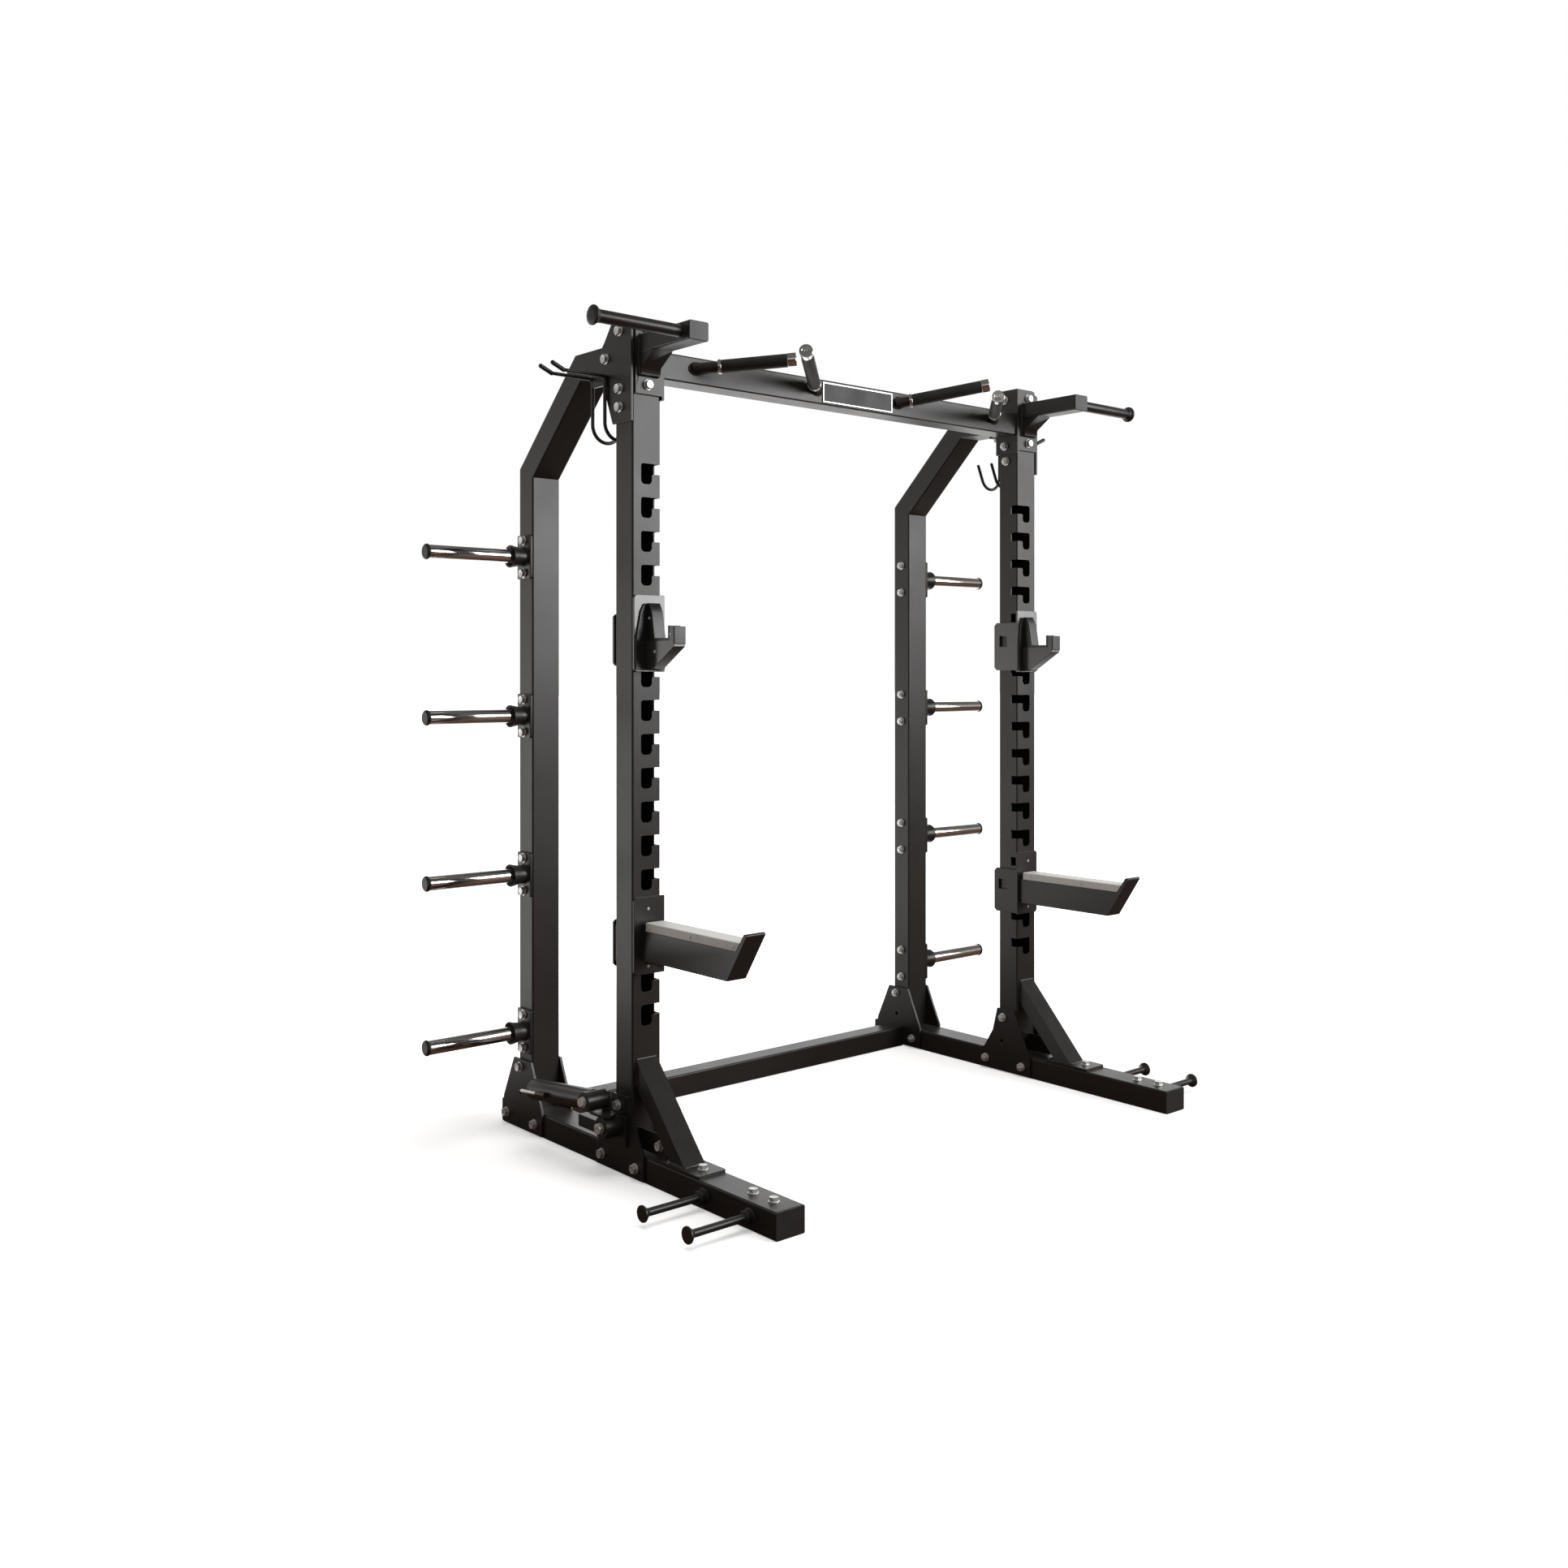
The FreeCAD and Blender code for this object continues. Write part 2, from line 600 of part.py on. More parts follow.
def safety_arm():
    wrap = wrap_bracket(SAFETY_Z, SAFETY_SLOTS, (31, 60, 499, 525))
    low, high = SAFETY_ARM_Z
    x0, x1 = SAFETY_X
    start = -PLATE - GAP
    channel = side_profile([(start, low), (safety_slope(low) + 12, low), (safety_slope(high) + 12, high),
                            (start, high)], x0, x1)
    trough = side_profile([(start - 1, low + 4), (safety_slope(low + 4) + 13, low + 4),
                           (safety_slope(high + 1) + 13, high + 1), (start - 1, high + 1)], x0 + 4, x1 - 4)
    end_plate = side_profile([(safety_slope(low), low), (safety_slope(low) + 12, low),
                              (safety_slope(568) + 12, 568), (safety_slope(568), 568)], x0, x1)
    end_plate = end_plate.makeFillet(4, [e for e in end_plate.Edges
                                         if runs_along(e, X_AXIS) and e.CenterOfMass.z > 560])
    return one([wrap, channel.cut(trough), end_plate])


def safety_strip():
    high = SAFETY_ARM_Z[1]
    top = high + STRIP_H
    strip = side_profile([(-18, high), (safety_slope(high) + 12.5, high), (safety_slope(top) + 12.5, top),
                          (-18, top)], *SAFETY_X)
    long_top = [e for e in strip.Edges if runs_along(e, Y_AXIS) and e.CenterOfMass.z > top - 1]
    return [strip.makeFillet(2.5, long_top), back_pad(SAFETY_Z)]


# ---------------------------------------------------------------- landmine

def landmine_mount():
    """Plate over the foot plate, with the round boss that carries the swivel and a stop behind it."""
    x0 = OUT_PLATE
    plate = side_profile([(8, 66), (92, 66), (92, 104), (76, 130), (8, 130)], x0, x0 + 8)
    boss_z = 108.0
    boss = rod(Vector(x0, LM_SWIVEL[1], boss_z), Vector(720, LM_SWIVEL[1], boss_z), 24)
    stop = block(694, 716, LM_SWIVEL[1], 136, 92, 118)
    return one([plate, boss, stop])


def landmine_swivel():
    """Turning base and the cheek that carries the tilt bolt."""
    x, y = LM_SWIVEL
    low, high = LM_BASE_Z
    disc = rod(Vector(x, y, low), Vector(x, y, high), 19.5)
    base = block(688, x + 20, y, 77, low, high)
    cheek = side_profile([(50, low), (77, low), (84, LM_TILT[1]), (78, 180), (57, 180), (50, LM_TILT[1])],
                         688, 694)
    pivot_bore = rod(Vector(687, *LM_TILT), Vector(695, *LM_TILT), SHANK_R + 0.3)
    return one([disc, base, cheek]).cut(pivot_bore)


def turned_down(shape):
    """Hang a sleeve piece from level down to where it rests."""
    y, z = LM_TILT
    return shape.rotate(Vector(0, y, z), X_AXIS, -LM_DROOP)


def landmine_sleeve():
    y, z = LM_TILT
    cross = rod(Vector(694.5, y, z), Vector(LM_X + 25, y, z), LM_CROSS_R)
    tube = rod(Vector(LM_X, y, z), Vector(LM_X, y + LM_LENGTH, z), LM_SLEEVE_R)
    bore = rod(Vector(LM_X, y + 40, z), Vector(LM_X, y + LM_LENGTH + 1, z), LM_BORE_R)
    pivot_bore = rod(Vector(690, y, z), Vector(LM_X + 26, y, z), SHANK_R + 0.3)
    housing_x = LM_X + LM_SLEEVE_R + 4.6
    housing = rod(Vector(housing_x, y + 150, z), Vector(housing_x, y + 188, z), 6.5)
    return turned_down(one([cross, tube, housing]).cut(bore).cut(pivot_bore))


def landmine_pin():
    y, z = LM_TILT
    x = LM_X + LM_SLEEVE_R + 4.6
    shaft = rod(Vector(x, y + 188, z), Vector(x, y + 250, z), 4.2)
    head = rod(Vector(x, y + 250, z), Vector(x, y + 255, z), 4.2)
    return turned_down(one([shaft, head.makeFillet(1.5, head.Edges)]))


# ---------------------------------------------------------------- assembly

def make_base():
    both_sides("base_rail", base_rail())
    caps = [rail_cap(RAIL_FRONT, -1), rail_cap(RAIL_REAR, 1)]
    NODES["rail_end_caps"] = group(caps + [mirrored(c) for c in caps])
    NODES["rear_cross_member"] = cross_member()
    both_sides("front_foot_plates", group(clamp_plates(FOOT_OUTLINE, FOOT_HOLE)))
    both_sides("rear_foot_plates", group(clamp_plates(HEEL_OUTLINE, HEEL_HOLE)))
    both_sides("front_brace", brace())
    both_sides("band_pegs", group([band_peg(y) for y in BAND_Y]))


def make_posts():
    both_sides("front_post", front_post())
    plug = post_plug()
    NODES["post_top_plugs"] = group([plug, mirrored(plug)])
    both_sides("rear_post", rear_post())


def make_top():
    both_sides("top_gusset", side_profile(TOP_GUSSET_OUTLINE, OUTER, OUT_PLATE))
    both_sides("top_bracket", top_bracket())
    NODES["arm_end_caps"] = group([arm_cap(), mirrored(arm_cap())])
    both_sides("wide_grip_handle", handle_bar())
    knob = handle_knob()
    NODES["handle_knobs"] = group([knob, mirrored(knob)])
    NODES["pull_up_beam"] = beam()
    NODES["name_plate"] = name_plate()
    pieces = [grip_pieces(*grip) for grip in GRIPS]
    for k, name in enumerate(("grip_stubs", "grip_rings", "grip_sleeves", "grip_tips")):
        right = [p[k] for p in pieces]
        NODES[name] = group(right + [mirrored(s) for s in right])
    both_sides("accessory_hook", accessory_hook())
    tips = hook_tips()
    NODES["hook_tips"] = group(tips + [mirrored(t) for t in tips])


def make_pegs():
    parts = [peg_parts(z) for z in PEG_Z]
    flanges = [one([p[0], p[1]]) for p in parts]
    both_sides("peg_flanges", group(flanges))
    both_sides("storage_pegs", group([p[2] for p in parts]))
    caps = [p[3] for p in parts]
    NODES["peg_end_caps"] = group(caps + [mirrored(c) for c in caps])


def make_moving():
    both_sides("j_cup", j_cup_body())
    both_sides("j_cup_liner", group(j_cup_liner()))
    both_sides("j_cup_screws", group(side_screws([(-20, 1203), (-98, 1168), (-40, 1131)], HOOK_X[1])))
    both_sides("safety_arm", safety_arm())
    both_sides("safety_strip", group(safety_strip()))
    level = SAFETY_ARM_Z[1] + STRIP_H / 2
    screws = side_screws([(y, level) for y in (-32, -175, -318)], SAFETY_X[1])
    screws += face_screws([(POST_X, 576), (POST_X, 452)], -PLATE - GAP)
    both_sides("safety_screws", group(screws))


def make_landmine():
    NODES["landmine_mount"] = mirrored(landmine_mount())
    NODES["landmine_swivel"] = mirrored(landmine_swivel())
    NODES["landmine_sleeve"] = mirrored(landmine_sleeve())
    NODES["landmine_pin"] = mirrored(landmine_pin())
    y, z = LM_TILT
    tilt = one([rod(Vector(688, y, z), Vector(LM_X + 25.4, y, z), SHANK_R),
                rod(Vector(682, y, z), Vector(688, y, z), 9),
                rod(Vector(LM_X + 25.4, y, z), Vector(LM_X + 27, y, z), WASHER_R),
                hex_prism(Vector(LM_X + 27, y, z), X_AXIS, HEX_H)])
    NODES["landmine_tilt_bolt"] = mirrored(tilt)
    boss_head = bolt(Vector(720, LM_SWIVEL[1], 108), Vector(1, 0, 0), [], 0)
    mount_bolt = bolt(Vector(OUT_PLATE + 8, 76, 84), Vector(1, 0, 0), [], 0)
    NODES["landmine_bolts"] = mirrored(group([boss_head, mount_bolt]))


def make_fasteners():
    """All frame bolts for the right side, mirrored for the left."""
    top = side_bolts(TOP_GUSSET_BOLTS, OUT_PLATE, 1, ["top_gusset", "front_post", "rear_post"])
    top += side_bolts([TOP_GUSSET_BOLTS[0], TOP_GUSSET_BOLTS[2]], IN_PLATE, -1, ["top_bracket", "front_post"])
    top += side_bolts([TOP_GUSSET_BOLTS[3]], INNER, -1, ["front_post"], 5)
    top += [bolt(Vector(POST_X + 1, -PLATE, z), Vector(0, -1, 0), ["top_bracket", "front_post"])
            for z in SLEEVE_BOLTS_Z]
    top.append(bolt(Vector(POST_X + 25, 125, 1738), Vector(0, 0, -1), ["accessory_hook", "rear_post"]))
    foot = side_bolts(FOOT_BOLTS, OUT_PLATE, 1, ["front_foot_plates", "base_rail", "front_post"])
    foot += side_bolts(FOOT_BOLTS, IN_PLATE, -1, ["front_foot_plates", "base_rail", "front_post"])
    foot += side_bolts(HEEL_BOLTS, OUT_PLATE, 1, ["rear_foot_plates", "base_rail", "rear_post"])
    foot += side_bolts(HEEL_BOLTS, IN_PLATE, -1, ["rear_foot_plates", "base_rail", "rear_post"])
    foot += [bolt(Vector(POST_X, y, RAIL_H), Vector(0, 0, 1), ["base_rail"]) for y in (-363, -426)]
    foot.append(bolt(Vector(POST_X, -200, RAIL_H + PLATE), Vector(0, 0, 1), ["front_brace", "base_rail"]))
    foot += side_bolts([(-76, 84)], POST_X + 12 + PLATE, 1, ["front_brace"], 5)
    peg_y = REAR_Y + REAR_D / 2
    peg_places = [(peg_y, z + step) for z in PEG_Z for step in (-PEG_BOLT, PEG_BOLT)]
    pegs = side_bolts(peg_places, OUT_PLATE, 1, ["peg_flanges", "rear_post"])
    pegs += side_bolts(peg_places, INNER, -1, ["rear_post"], 5)
    for name, bolts in (("top_bolts", top), ("foot_bolts", foot), ("peg_bolts", pegs)):
        NODES[name] = group(bolts + [mirrored(b) for b in bolts])


def drill_holes():
    for name, drills in HOLES.items():
        tool = group(drills)
        NODES[name + "_right"] = NODES[name + "_right"].cut(tool)
        NODES[name + "_left"] = NODES[name + "_left"].cut(mirrored(tool))


def export_parts():
    for name, shape in NODES.items():
        for solid in shape.Solids:
            if not solid.isValid() or solid.Volume <= 0:
                print("unsound solid in", name)
        shape.translate(Vector(0, CENTRE_Y, 0))
        shape.exportStep(f"parts/{name}.step")
    print(len(NODES), "nodes")


os.makedirs("parts", exist_ok=True)
make_base()
make_posts()
make_top()
make_pegs()
make_moving()
make_landmine()
make_fasteners()
drill_holes()
export_parts()
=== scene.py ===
import json
import math

import bmesh
import bpy
import numpy as np
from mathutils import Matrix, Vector


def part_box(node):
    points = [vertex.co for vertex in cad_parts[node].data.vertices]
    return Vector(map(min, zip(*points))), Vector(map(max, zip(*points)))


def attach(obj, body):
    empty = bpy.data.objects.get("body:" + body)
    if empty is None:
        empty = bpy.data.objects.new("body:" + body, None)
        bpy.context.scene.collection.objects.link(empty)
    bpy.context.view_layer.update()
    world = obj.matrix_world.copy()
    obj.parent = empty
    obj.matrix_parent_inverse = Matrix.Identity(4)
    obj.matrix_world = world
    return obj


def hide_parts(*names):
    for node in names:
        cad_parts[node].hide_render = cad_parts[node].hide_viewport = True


# Half rack for barbell training. The CAD frame gives every size and place; this script gives the
# frame its finishes and rebuilds hardware, grips, caps, liners and welds as finished pieces.

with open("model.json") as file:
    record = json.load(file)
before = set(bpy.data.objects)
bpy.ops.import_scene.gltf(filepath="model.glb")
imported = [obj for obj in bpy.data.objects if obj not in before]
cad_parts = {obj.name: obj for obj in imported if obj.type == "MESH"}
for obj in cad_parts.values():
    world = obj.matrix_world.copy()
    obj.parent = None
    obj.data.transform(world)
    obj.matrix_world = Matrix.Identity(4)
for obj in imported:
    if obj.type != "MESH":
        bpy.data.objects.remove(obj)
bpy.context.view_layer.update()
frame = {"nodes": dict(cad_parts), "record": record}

BODY_OF = {n: body for body, members in frame["record"]["behaviour"]["bodies"].items() for n in members}
SLOT_OF = {p["node"]: p["material_slot"] for p in frame["record"]["subparts"]}
MM = 0.001
X, Y, Z = Vector((1, 0, 0)), Vector((0, 1, 0)), Vector((0, 0, 1))
SIDES = ("left", "right")

# ---------------------------------------------------------------- camera

CAMERA_PLACE = Vector((-2.5067, -2.6743, 1.0841))
CAMERA_HEADING = math.radians(-40.709)
CAMERA_LENS = 34.199
CAMERA_SHIFT = -0.0704


def make_camera():
    data = bpy.data.cameras.new("camera")
    data.lens = CAMERA_LENS
    data.sensor_width = 36
    data.shift_y = CAMERA_SHIFT
    camera = bpy.data.objects.new("camera", data)
    camera.location = CAMERA_PLACE
    camera.rotation_euler = (math.radians(90), 0, CAMERA_HEADING)
    bpy.context.scene.collection.objects.link(camera)
    bpy.context.scene.camera = camera


# ---------------------------------------------------------------- shader groups

def socket(group, name, kind, direction, value=None):
    item = group.interface.new_socket(name, in_out=direction, socket_type="NodeSocket" + kind)
    if value is not None:
        item.default_value = value


def new_group(name, inputs, outputs):
    group = bpy.data.node_groups.new(name, "ShaderNodeTree")
    for label, kind, value in inputs:
        socket(group, label, kind, "INPUT", value)
    for label, kind in outputs:
        socket(group, label, kind, "OUTPUT")
    return group, group.nodes.new("NodeGroupInput"), group.nodes.new("NodeGroupOutput")


def maths(tree, operation, a, b=0.0, clamp=False):
    node = tree.nodes.new("ShaderNodeMath")
    node.operation = operation
    node.use_clamp = clamp
    for k, value in enumerate((a, b)):
        if isinstance(value, (int, float)):
            node.inputs[k].default_value = value
        else:
            tree.links.new(value, node.inputs[k])
    return node.outputs[0]


def noise(tree, vector, scale, detail=2.0, roughness=0.5):
    node = tree.nodes.new("ShaderNodeTexNoise")
    node.inputs["Detail"].default_value = detail
    node.inputs["Roughness"].default_value = roughness
    tree.links.new(vector, node.inputs["Vector"])
    if isinstance(scale, (int, float)):
        node.inputs["Scale"].default_value = scale
    else:
        tree.links.new(scale, node.inputs["Scale"])
    return node.outputs["Fac"]


def mapped(tree, value, from_low, from_high, to_low=0.0, to_high=1.0):
    node = tree.nodes.new("ShaderNodeMapRange")
    tree.links.new(value, node.inputs["Value"])
    for label, number in (("From Min", from_low), ("From Max", from_high),
                          ("To Min", to_low), ("To Max", to_high)):
        node.inputs[label].default_value = number
    return node.outputs["Result"]


def place(tree):
    return tree.nodes.new("ShaderNodeTexCoord").outputs["Object"]


def stretched(tree, scale):
    node = tree.nodes.new("ShaderNodeMapping")
    node.inputs["Scale"].default_value = scale
    tree.links.new(place(tree), node.inputs["Vector"])
    return node.outputs["Vector"]


def grain_group():
    """Orange peel of a sprayed coat or the etched skin of a moulding, as a height."""
    group, given, out = new_group("coat_grain", [("Grain Scale", "Float", 700.0), ("Fine Share", "Float", 0.4)],
                                  [("Height", "Float")])
    where = place(group)
    coarse = noise(group, where, given.outputs["Grain Scale"], 2.0)
    fine = noise(group, where, maths(group, "MULTIPLY", given.outputs["Grain Scale"], 3.1), 3.0, 0.65)
    shared = maths(group, "MULTIPLY", fine, given.outputs["Fine Share"])
    group.links.new(maths(group, "ADD", coarse, shared), out.inputs["Height"])
    return group


def wear_group():
    """Mask of the thin rubbed line along edges, broken up by handling."""
    sockets = [("Edge Width", "Float", 0.0012), ("Patch Scale", "Float", 35.0)]
    group, given, out = new_group("edge_wear", sockets, [("Mask", "Float")])
    bevel = group.nodes.new("ShaderNodeBevel")
    bevel.samples = 6
    group.links.new(given.outputs["Edge Width"], bevel.inputs["Radius"])
    surface = group.nodes.new("ShaderNodeNewGeometry")
    dot = group.nodes.new("ShaderNodeVectorMath")
    dot.operation = "DOT_PRODUCT"
    group.links.new(bevel.outputs["Normal"], dot.inputs[0])
    group.links.new(surface.outputs["Normal"], dot.inputs[1])
    edge = mapped(group, dot.outputs["Value"], 0.995, 0.86)
    patches = mapped(group, noise(group, place(group), given.outputs["Patch Scale"], 5.0, 0.7), 0.42, 0.66)
    group.links.new(maths(group, "MULTIPLY", edge, patches, clamp=True), out.inputs["Mask"])
    return group


def dust_group():
    """Mask of fine dust that lies on faces turned upwards."""
    group, given, out = new_group("settled_dust", [("Amount", "Float", 0.3)], [("Mask", "Float")])
    surface = group.nodes.new("ShaderNodeNewGeometry")
    parts = group.nodes.new("ShaderNodeSeparateXYZ")
    group.links.new(surface.outputs["Normal"], parts.inputs[0])
    upward = mapped(group, parts.outputs["Z"], 0.6, 1.0)
    clouds = mapped(group, noise(group, place(group), 14.0, 6.0, 0.7), 0.35, 0.75)
    mask = maths(group, "MULTIPLY", upward, clouds)
    group.links.new(maths(group, "MULTIPLY", mask, given.outputs["Amount"], clamp=True), out.inputs["Mask"])
    return group


def mottle_group():
    """Slow cloudy change over the surface, for colour and gloss that are never quite even."""
    group, given, out = new_group("mottle", [("Patch Size", "Float", 0.15)], [("Clouds", "Float")])
    scale = maths(group, "DIVIDE", 1.0, given.outputs["Patch Size"])
    clouds = noise(group, place(group), scale, 4.0, 0.6)
    group.links.new(mapped(group, clouds, 0.3, 0.7), out.inputs["Clouds"])
    return group


GROUPS = {}


def make_groups():
    GROUPS.update(grain=grain_group(), wear=wear_group(), dust=dust_group(), mottle=mottle_group())


def effect(tree, name, **values):
    node = tree.nodes.new("ShaderNodeGroup")
    node.node_tree = GROUPS[name]
    for label, value in values.items():
        node.inputs[label.replace("_", " ")].default_value = value
    return node.outputs[0]


# ---------------------------------------------------------------- materials

def blend(tree, mask, low, high):
    """A colour between two, by a mask; either may be a socket."""
    node = tree.nodes.new("ShaderNodeMix")
    node.data_type = "RGBA"
    tree.links.new(mask, node.inputs["Factor"])
    for label, colour in (("A", low), ("B", high)):
        target = next(s for s in node.inputs if s.name == label and s.type == "RGBA")
        if isinstance(colour, tuple):
            target.default_value = (*colour, 1)
        else:
            tree.links.new(colour, target)
    return next(s for s in node.outputs if s.type == "RGBA")


def new_material(name):
    material = bpy.data.materials.new(name)
    material.use_nodes = True
    tree = material.node_tree
    tree.nodes.clear()
    shader = tree.nodes.new("ShaderNodeBsdfPrincipled")
    output = tree.nodes.new("ShaderNodeOutputMaterial")
    tree.links.new(shader.outputs["BSDF"], output.inputs["Surface"])
    return material, tree, shader


def relief(tree, shader, height, depth, strength=1.0):
    bump = tree.nodes.new("ShaderNodeBump")
    bump.inputs["Distance"].default_value = depth
    bump.inputs["Strength"].default_value = strength
    tree.links.new(height, bump.inputs["Height"])
    tree.links.new(bump.outputs["Normal"], shader.inputs["Normal"])


WARMER = (1.3, 1.16, 1.1)
WORN_COAT = (0.10, 0.095, 0.09)
DUST = (0.13, 0.12, 0.11)


def powder_coat(name, colour, gloss, grain=750.0, depth=0.00011, shine=0.5, dust=0.3):
    """Matt black powder coat: orange peel, cloudy gloss, rubbed edges and a little dust."""
    material, tree, shader = new_material(name)
    clouds = effect(tree, "mottle", Patch_Size=0.22)
    warm = tuple(c * w for c, w in zip(colour, WARMER))
    coat = blend(tree, clouds, colour, warm)
    rubbed = effect(tree, "wear", Edge_Width=0.0012)
    edged = blend(tree, maths(tree, "MULTIPLY", rubbed, 0.55), coat, WORN_COAT)
    dusty = blend(tree, effect(tree, "dust", Amount=dust), edged, DUST)
    tree.links.new(dusty, shader.inputs["Base Color"])
    rough = mapped(tree, clouds, 0, 1, gloss - 0.04, gloss + 0.05)
    polished = maths(tree, "MULTIPLY", rubbed, 0.12)
    tree.links.new(maths(tree, "SUBTRACT", rough, polished), shader.inputs["Roughness"])
    shader.inputs["Specular IOR Level"].default_value = shine
    relief(tree, shader, effect(tree, "grain", Grain_Scale=grain), depth)
    return material


def zinc_plate(name):
    """Bright zinc plating with a faint yellow bloom."""
    material, tree, shader = new_material(name)
    clouds = effect(tree, "mottle", Patch_Size=0.012)
    tree.links.new(blend(tree, clouds, (0.84, 0.84, 0.83), (0.70, 0.69, 0.66)), shader.inputs["Base Color"])
    shader.inputs["Metallic"].default_value = 0.72
    tree.links.new(mapped(tree, clouds, 0, 1, 0.26, 0.4), shader.inputs["Roughness"])
    relief(tree, shader, effect(tree, "grain", Grain_Scale=2200.0), 0.00004)
    return material


def chrome_plate(name, along):
    """Polished chrome with fine rub marks; along is the scale of the marks on each axis."""
    material, tree, shader = new_material(name)
    marks = noise(tree, stretched(tree, along), 1.0, 5.0, 0.7)
    clouds = effect(tree, "mottle", Patch_Size=0.05)
    tree.links.new(blend(tree, clouds, (0.88, 0.87, 0.86), (0.8, 0.79, 0.77)), shader.inputs["Base Color"])
    shader.inputs["Metallic"].default_value = 1.0
    tree.links.new(mapped(tree, marks, 0.35, 0.75, 0.04, 0.14), shader.inputs["Roughness"])
    relief(tree, shader, marks, 0.00002)
    return material


def plastic(name, colour, gloss, grain, depth, scuff=(0.07, 0.068, 0.065)):
    """Moulded or sawn plastic with an even grain and a few scuffs."""
    material, tree, shader = new_material(name)
    clouds = effect(tree, "mottle", Patch_Size=0.06)
    brighter = tuple(c * 1.35 for c in colour)
    base = blend(tree, clouds, colour, brighter)
    rubbed = effect(tree, "wear", Edge_Width=0.0015, Patch_Scale=60.0)
    tree.links.new(blend(tree, maths(tree, "MULTIPLY", rubbed, 0.4), base, scuff), shader.inputs["Base Color"])
    tree.links.new(mapped(tree, clouds, 0, 1, gloss - 0.05, gloss + 0.05), shader.inputs["Roughness"])
    relief(tree, shader, effect(tree, "grain", Grain_Scale=grain), depth)
    return material


def wear_strip_plastic(name):
    """Natural white polyethylene with saw lines across it and grey marks where the bar lands."""
    material, tree, shader = new_material(name)
    lines = noise(tree, stretched(tree, (8.0, 900.0, 60.0)), 1.0, 3.0)
    marks = mapped(tree, noise(tree, stretched(tree, (6.0, 45.0, 45.0)), 1.0, 5.0, 0.7), 0.58, 0.78)
    base = blend(tree, marks, (0.60, 0.585, 0.555), (0.34, 0.33, 0.315))
    tree.links.new(base, shader.inputs["Base Color"])
    tree.links.new(mapped(tree, lines, 0.3, 0.7, 0.38, 0.52), shader.inputs["Roughness"])
    shader.inputs["Subsurface Weight"].default_value = 0.15
    shader.inputs["Subsurface Radius"].default_value = (0.004, 0.0035, 0.003)
    relief(tree, shader, lines, 0.00015, 0.6)
    return material


def foam_rubber(name):
    """Firm black grip rubber: close pores and soft sheen."""
    material, tree, shader = new_material(name)
    cells = tree.nodes.new("ShaderNodeTexVoronoi")
    cells.inputs["Scale"].default_value = 1100.0
    tree.links.new(place(tree), cells.inputs["Vector"])
    clouds = effect(tree, "mottle", Patch_Size=0.04)
    black = blend(tree, clouds, (0.006, 0.006, 0.006), (0.012, 0.0115, 0.011))
    tree.links.new(black, shader.inputs["Base Color"])
    tree.links.new(mapped(tree, clouds, 0, 1, 0.5, 0.64), shader.inputs["Roughness"])
    shader.inputs["Sheen Weight"].default_value = 0.06
    relief(tree, shader, cells.outputs["Distance"], 0.0002, 0.7)
    return material


def brushed_silver(name):
    material, tree, shader = new_material(name)
    brush = noise(tree, stretched(tree, (12.0, 900.0, 1400.0)), 1.0, 3.0)
    tree.links.new(blend(tree, brush, (0.50, 0.50, 0.50), (0.66, 0.66, 0.65)), shader.inputs["Base Color"])
    shader.inputs["Metallic"].default_value = 1.0
    tree.links.new(mapped(tree, brush, 0.3, 0.7, 0.24, 0.4), shader.inputs["Roughness"])
    relief(tree, shader, brush, 0.00003)
    return material


MATERIALS = {}


def make_materials():
    make_groups()
    MATERIALS.update(
        frame_black=powder_coat("frame_powder_coat", (0.0135, 0.0120, 0.0112), 0.33),
        cup_satin=powder_coat("cup_satin_coat", (0.030, 0.0285, 0.0275), 0.19, grain=900.0, depth=0.00006,
                              shine=1.0),
        bracket_black=powder_coat("bracket_powder_coat", (0.0150, 0.0140, 0.0132), 0.33, grain=900.0,
                                  depth=0.00008),
        bolt_zinc=zinc_plate("zinc_plating"),
        peg_chrome=chrome_plate("peg_chrome_plating", (14.0, 900.0, 900.0)),
        grip_chrome=chrome_plate("grip_chrome_plating", (200.0, 200.0, 200.0)),
        cap_plastic=plastic("moulded_cap_plastic", (0.0125, 0.0125, 0.0122), 0.42, 1500.0, 0.00008),
        grip_rubber=foam_rubber("grip_rubber"),
        liner_plastic=plastic("liner_polyethylene", (0.0095, 0.0095, 0.0092), 0.3, 600.0, 0.00008),
        strip_plastic=wear_strip_plastic("wear_strip_polyethylene"),
        badge=plastic("badge_black_face", (0.012, 0.012, 0.0135), 0.52, 2500.0, 0.00002),
        hook_vinyl=plastic("hook_vinyl_dip", (0.010, 0.010, 0.010), 0.24, 300.0, 0.0001),
        badge_edge=brushed_silver("badge_silver_edge"),
    )


# ---------------------------------------------------------------- mesh tools

def add_piece(name, bm, slot, body, stands_for=(), material=None, sharp=35.0, weighted=False):
    """Makes a finished piece of a bmesh, with smooth shading, finish and body, and hides the CAD nodes it
    stands for.
    """
    bmesh.ops.recalc_face_normals(bm, faces=bm.faces)
    mesh = bpy.data.meshes.new(name)
    bm.to_mesh(mesh)
    bm.free()
    mesh.polygons.foreach_set("use_smooth", [True] * len(mesh.polygons))
    mesh.set_sharp_from_angle(angle=math.radians(sharp))
    mesh.materials.append(MATERIALS[material or slot])
    piece = bpy.data.objects.new(name, mesh)
    bpy.context.scene.collection.objects.link(piece)
    if weighted:
        normals = piece.modifiers.new("flat_faces", "WEIGHTED_NORMAL")
        normals.keep_sharp = True
    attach(piece, body)
    if stands_for:
        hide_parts(*stands_for)
    return piece


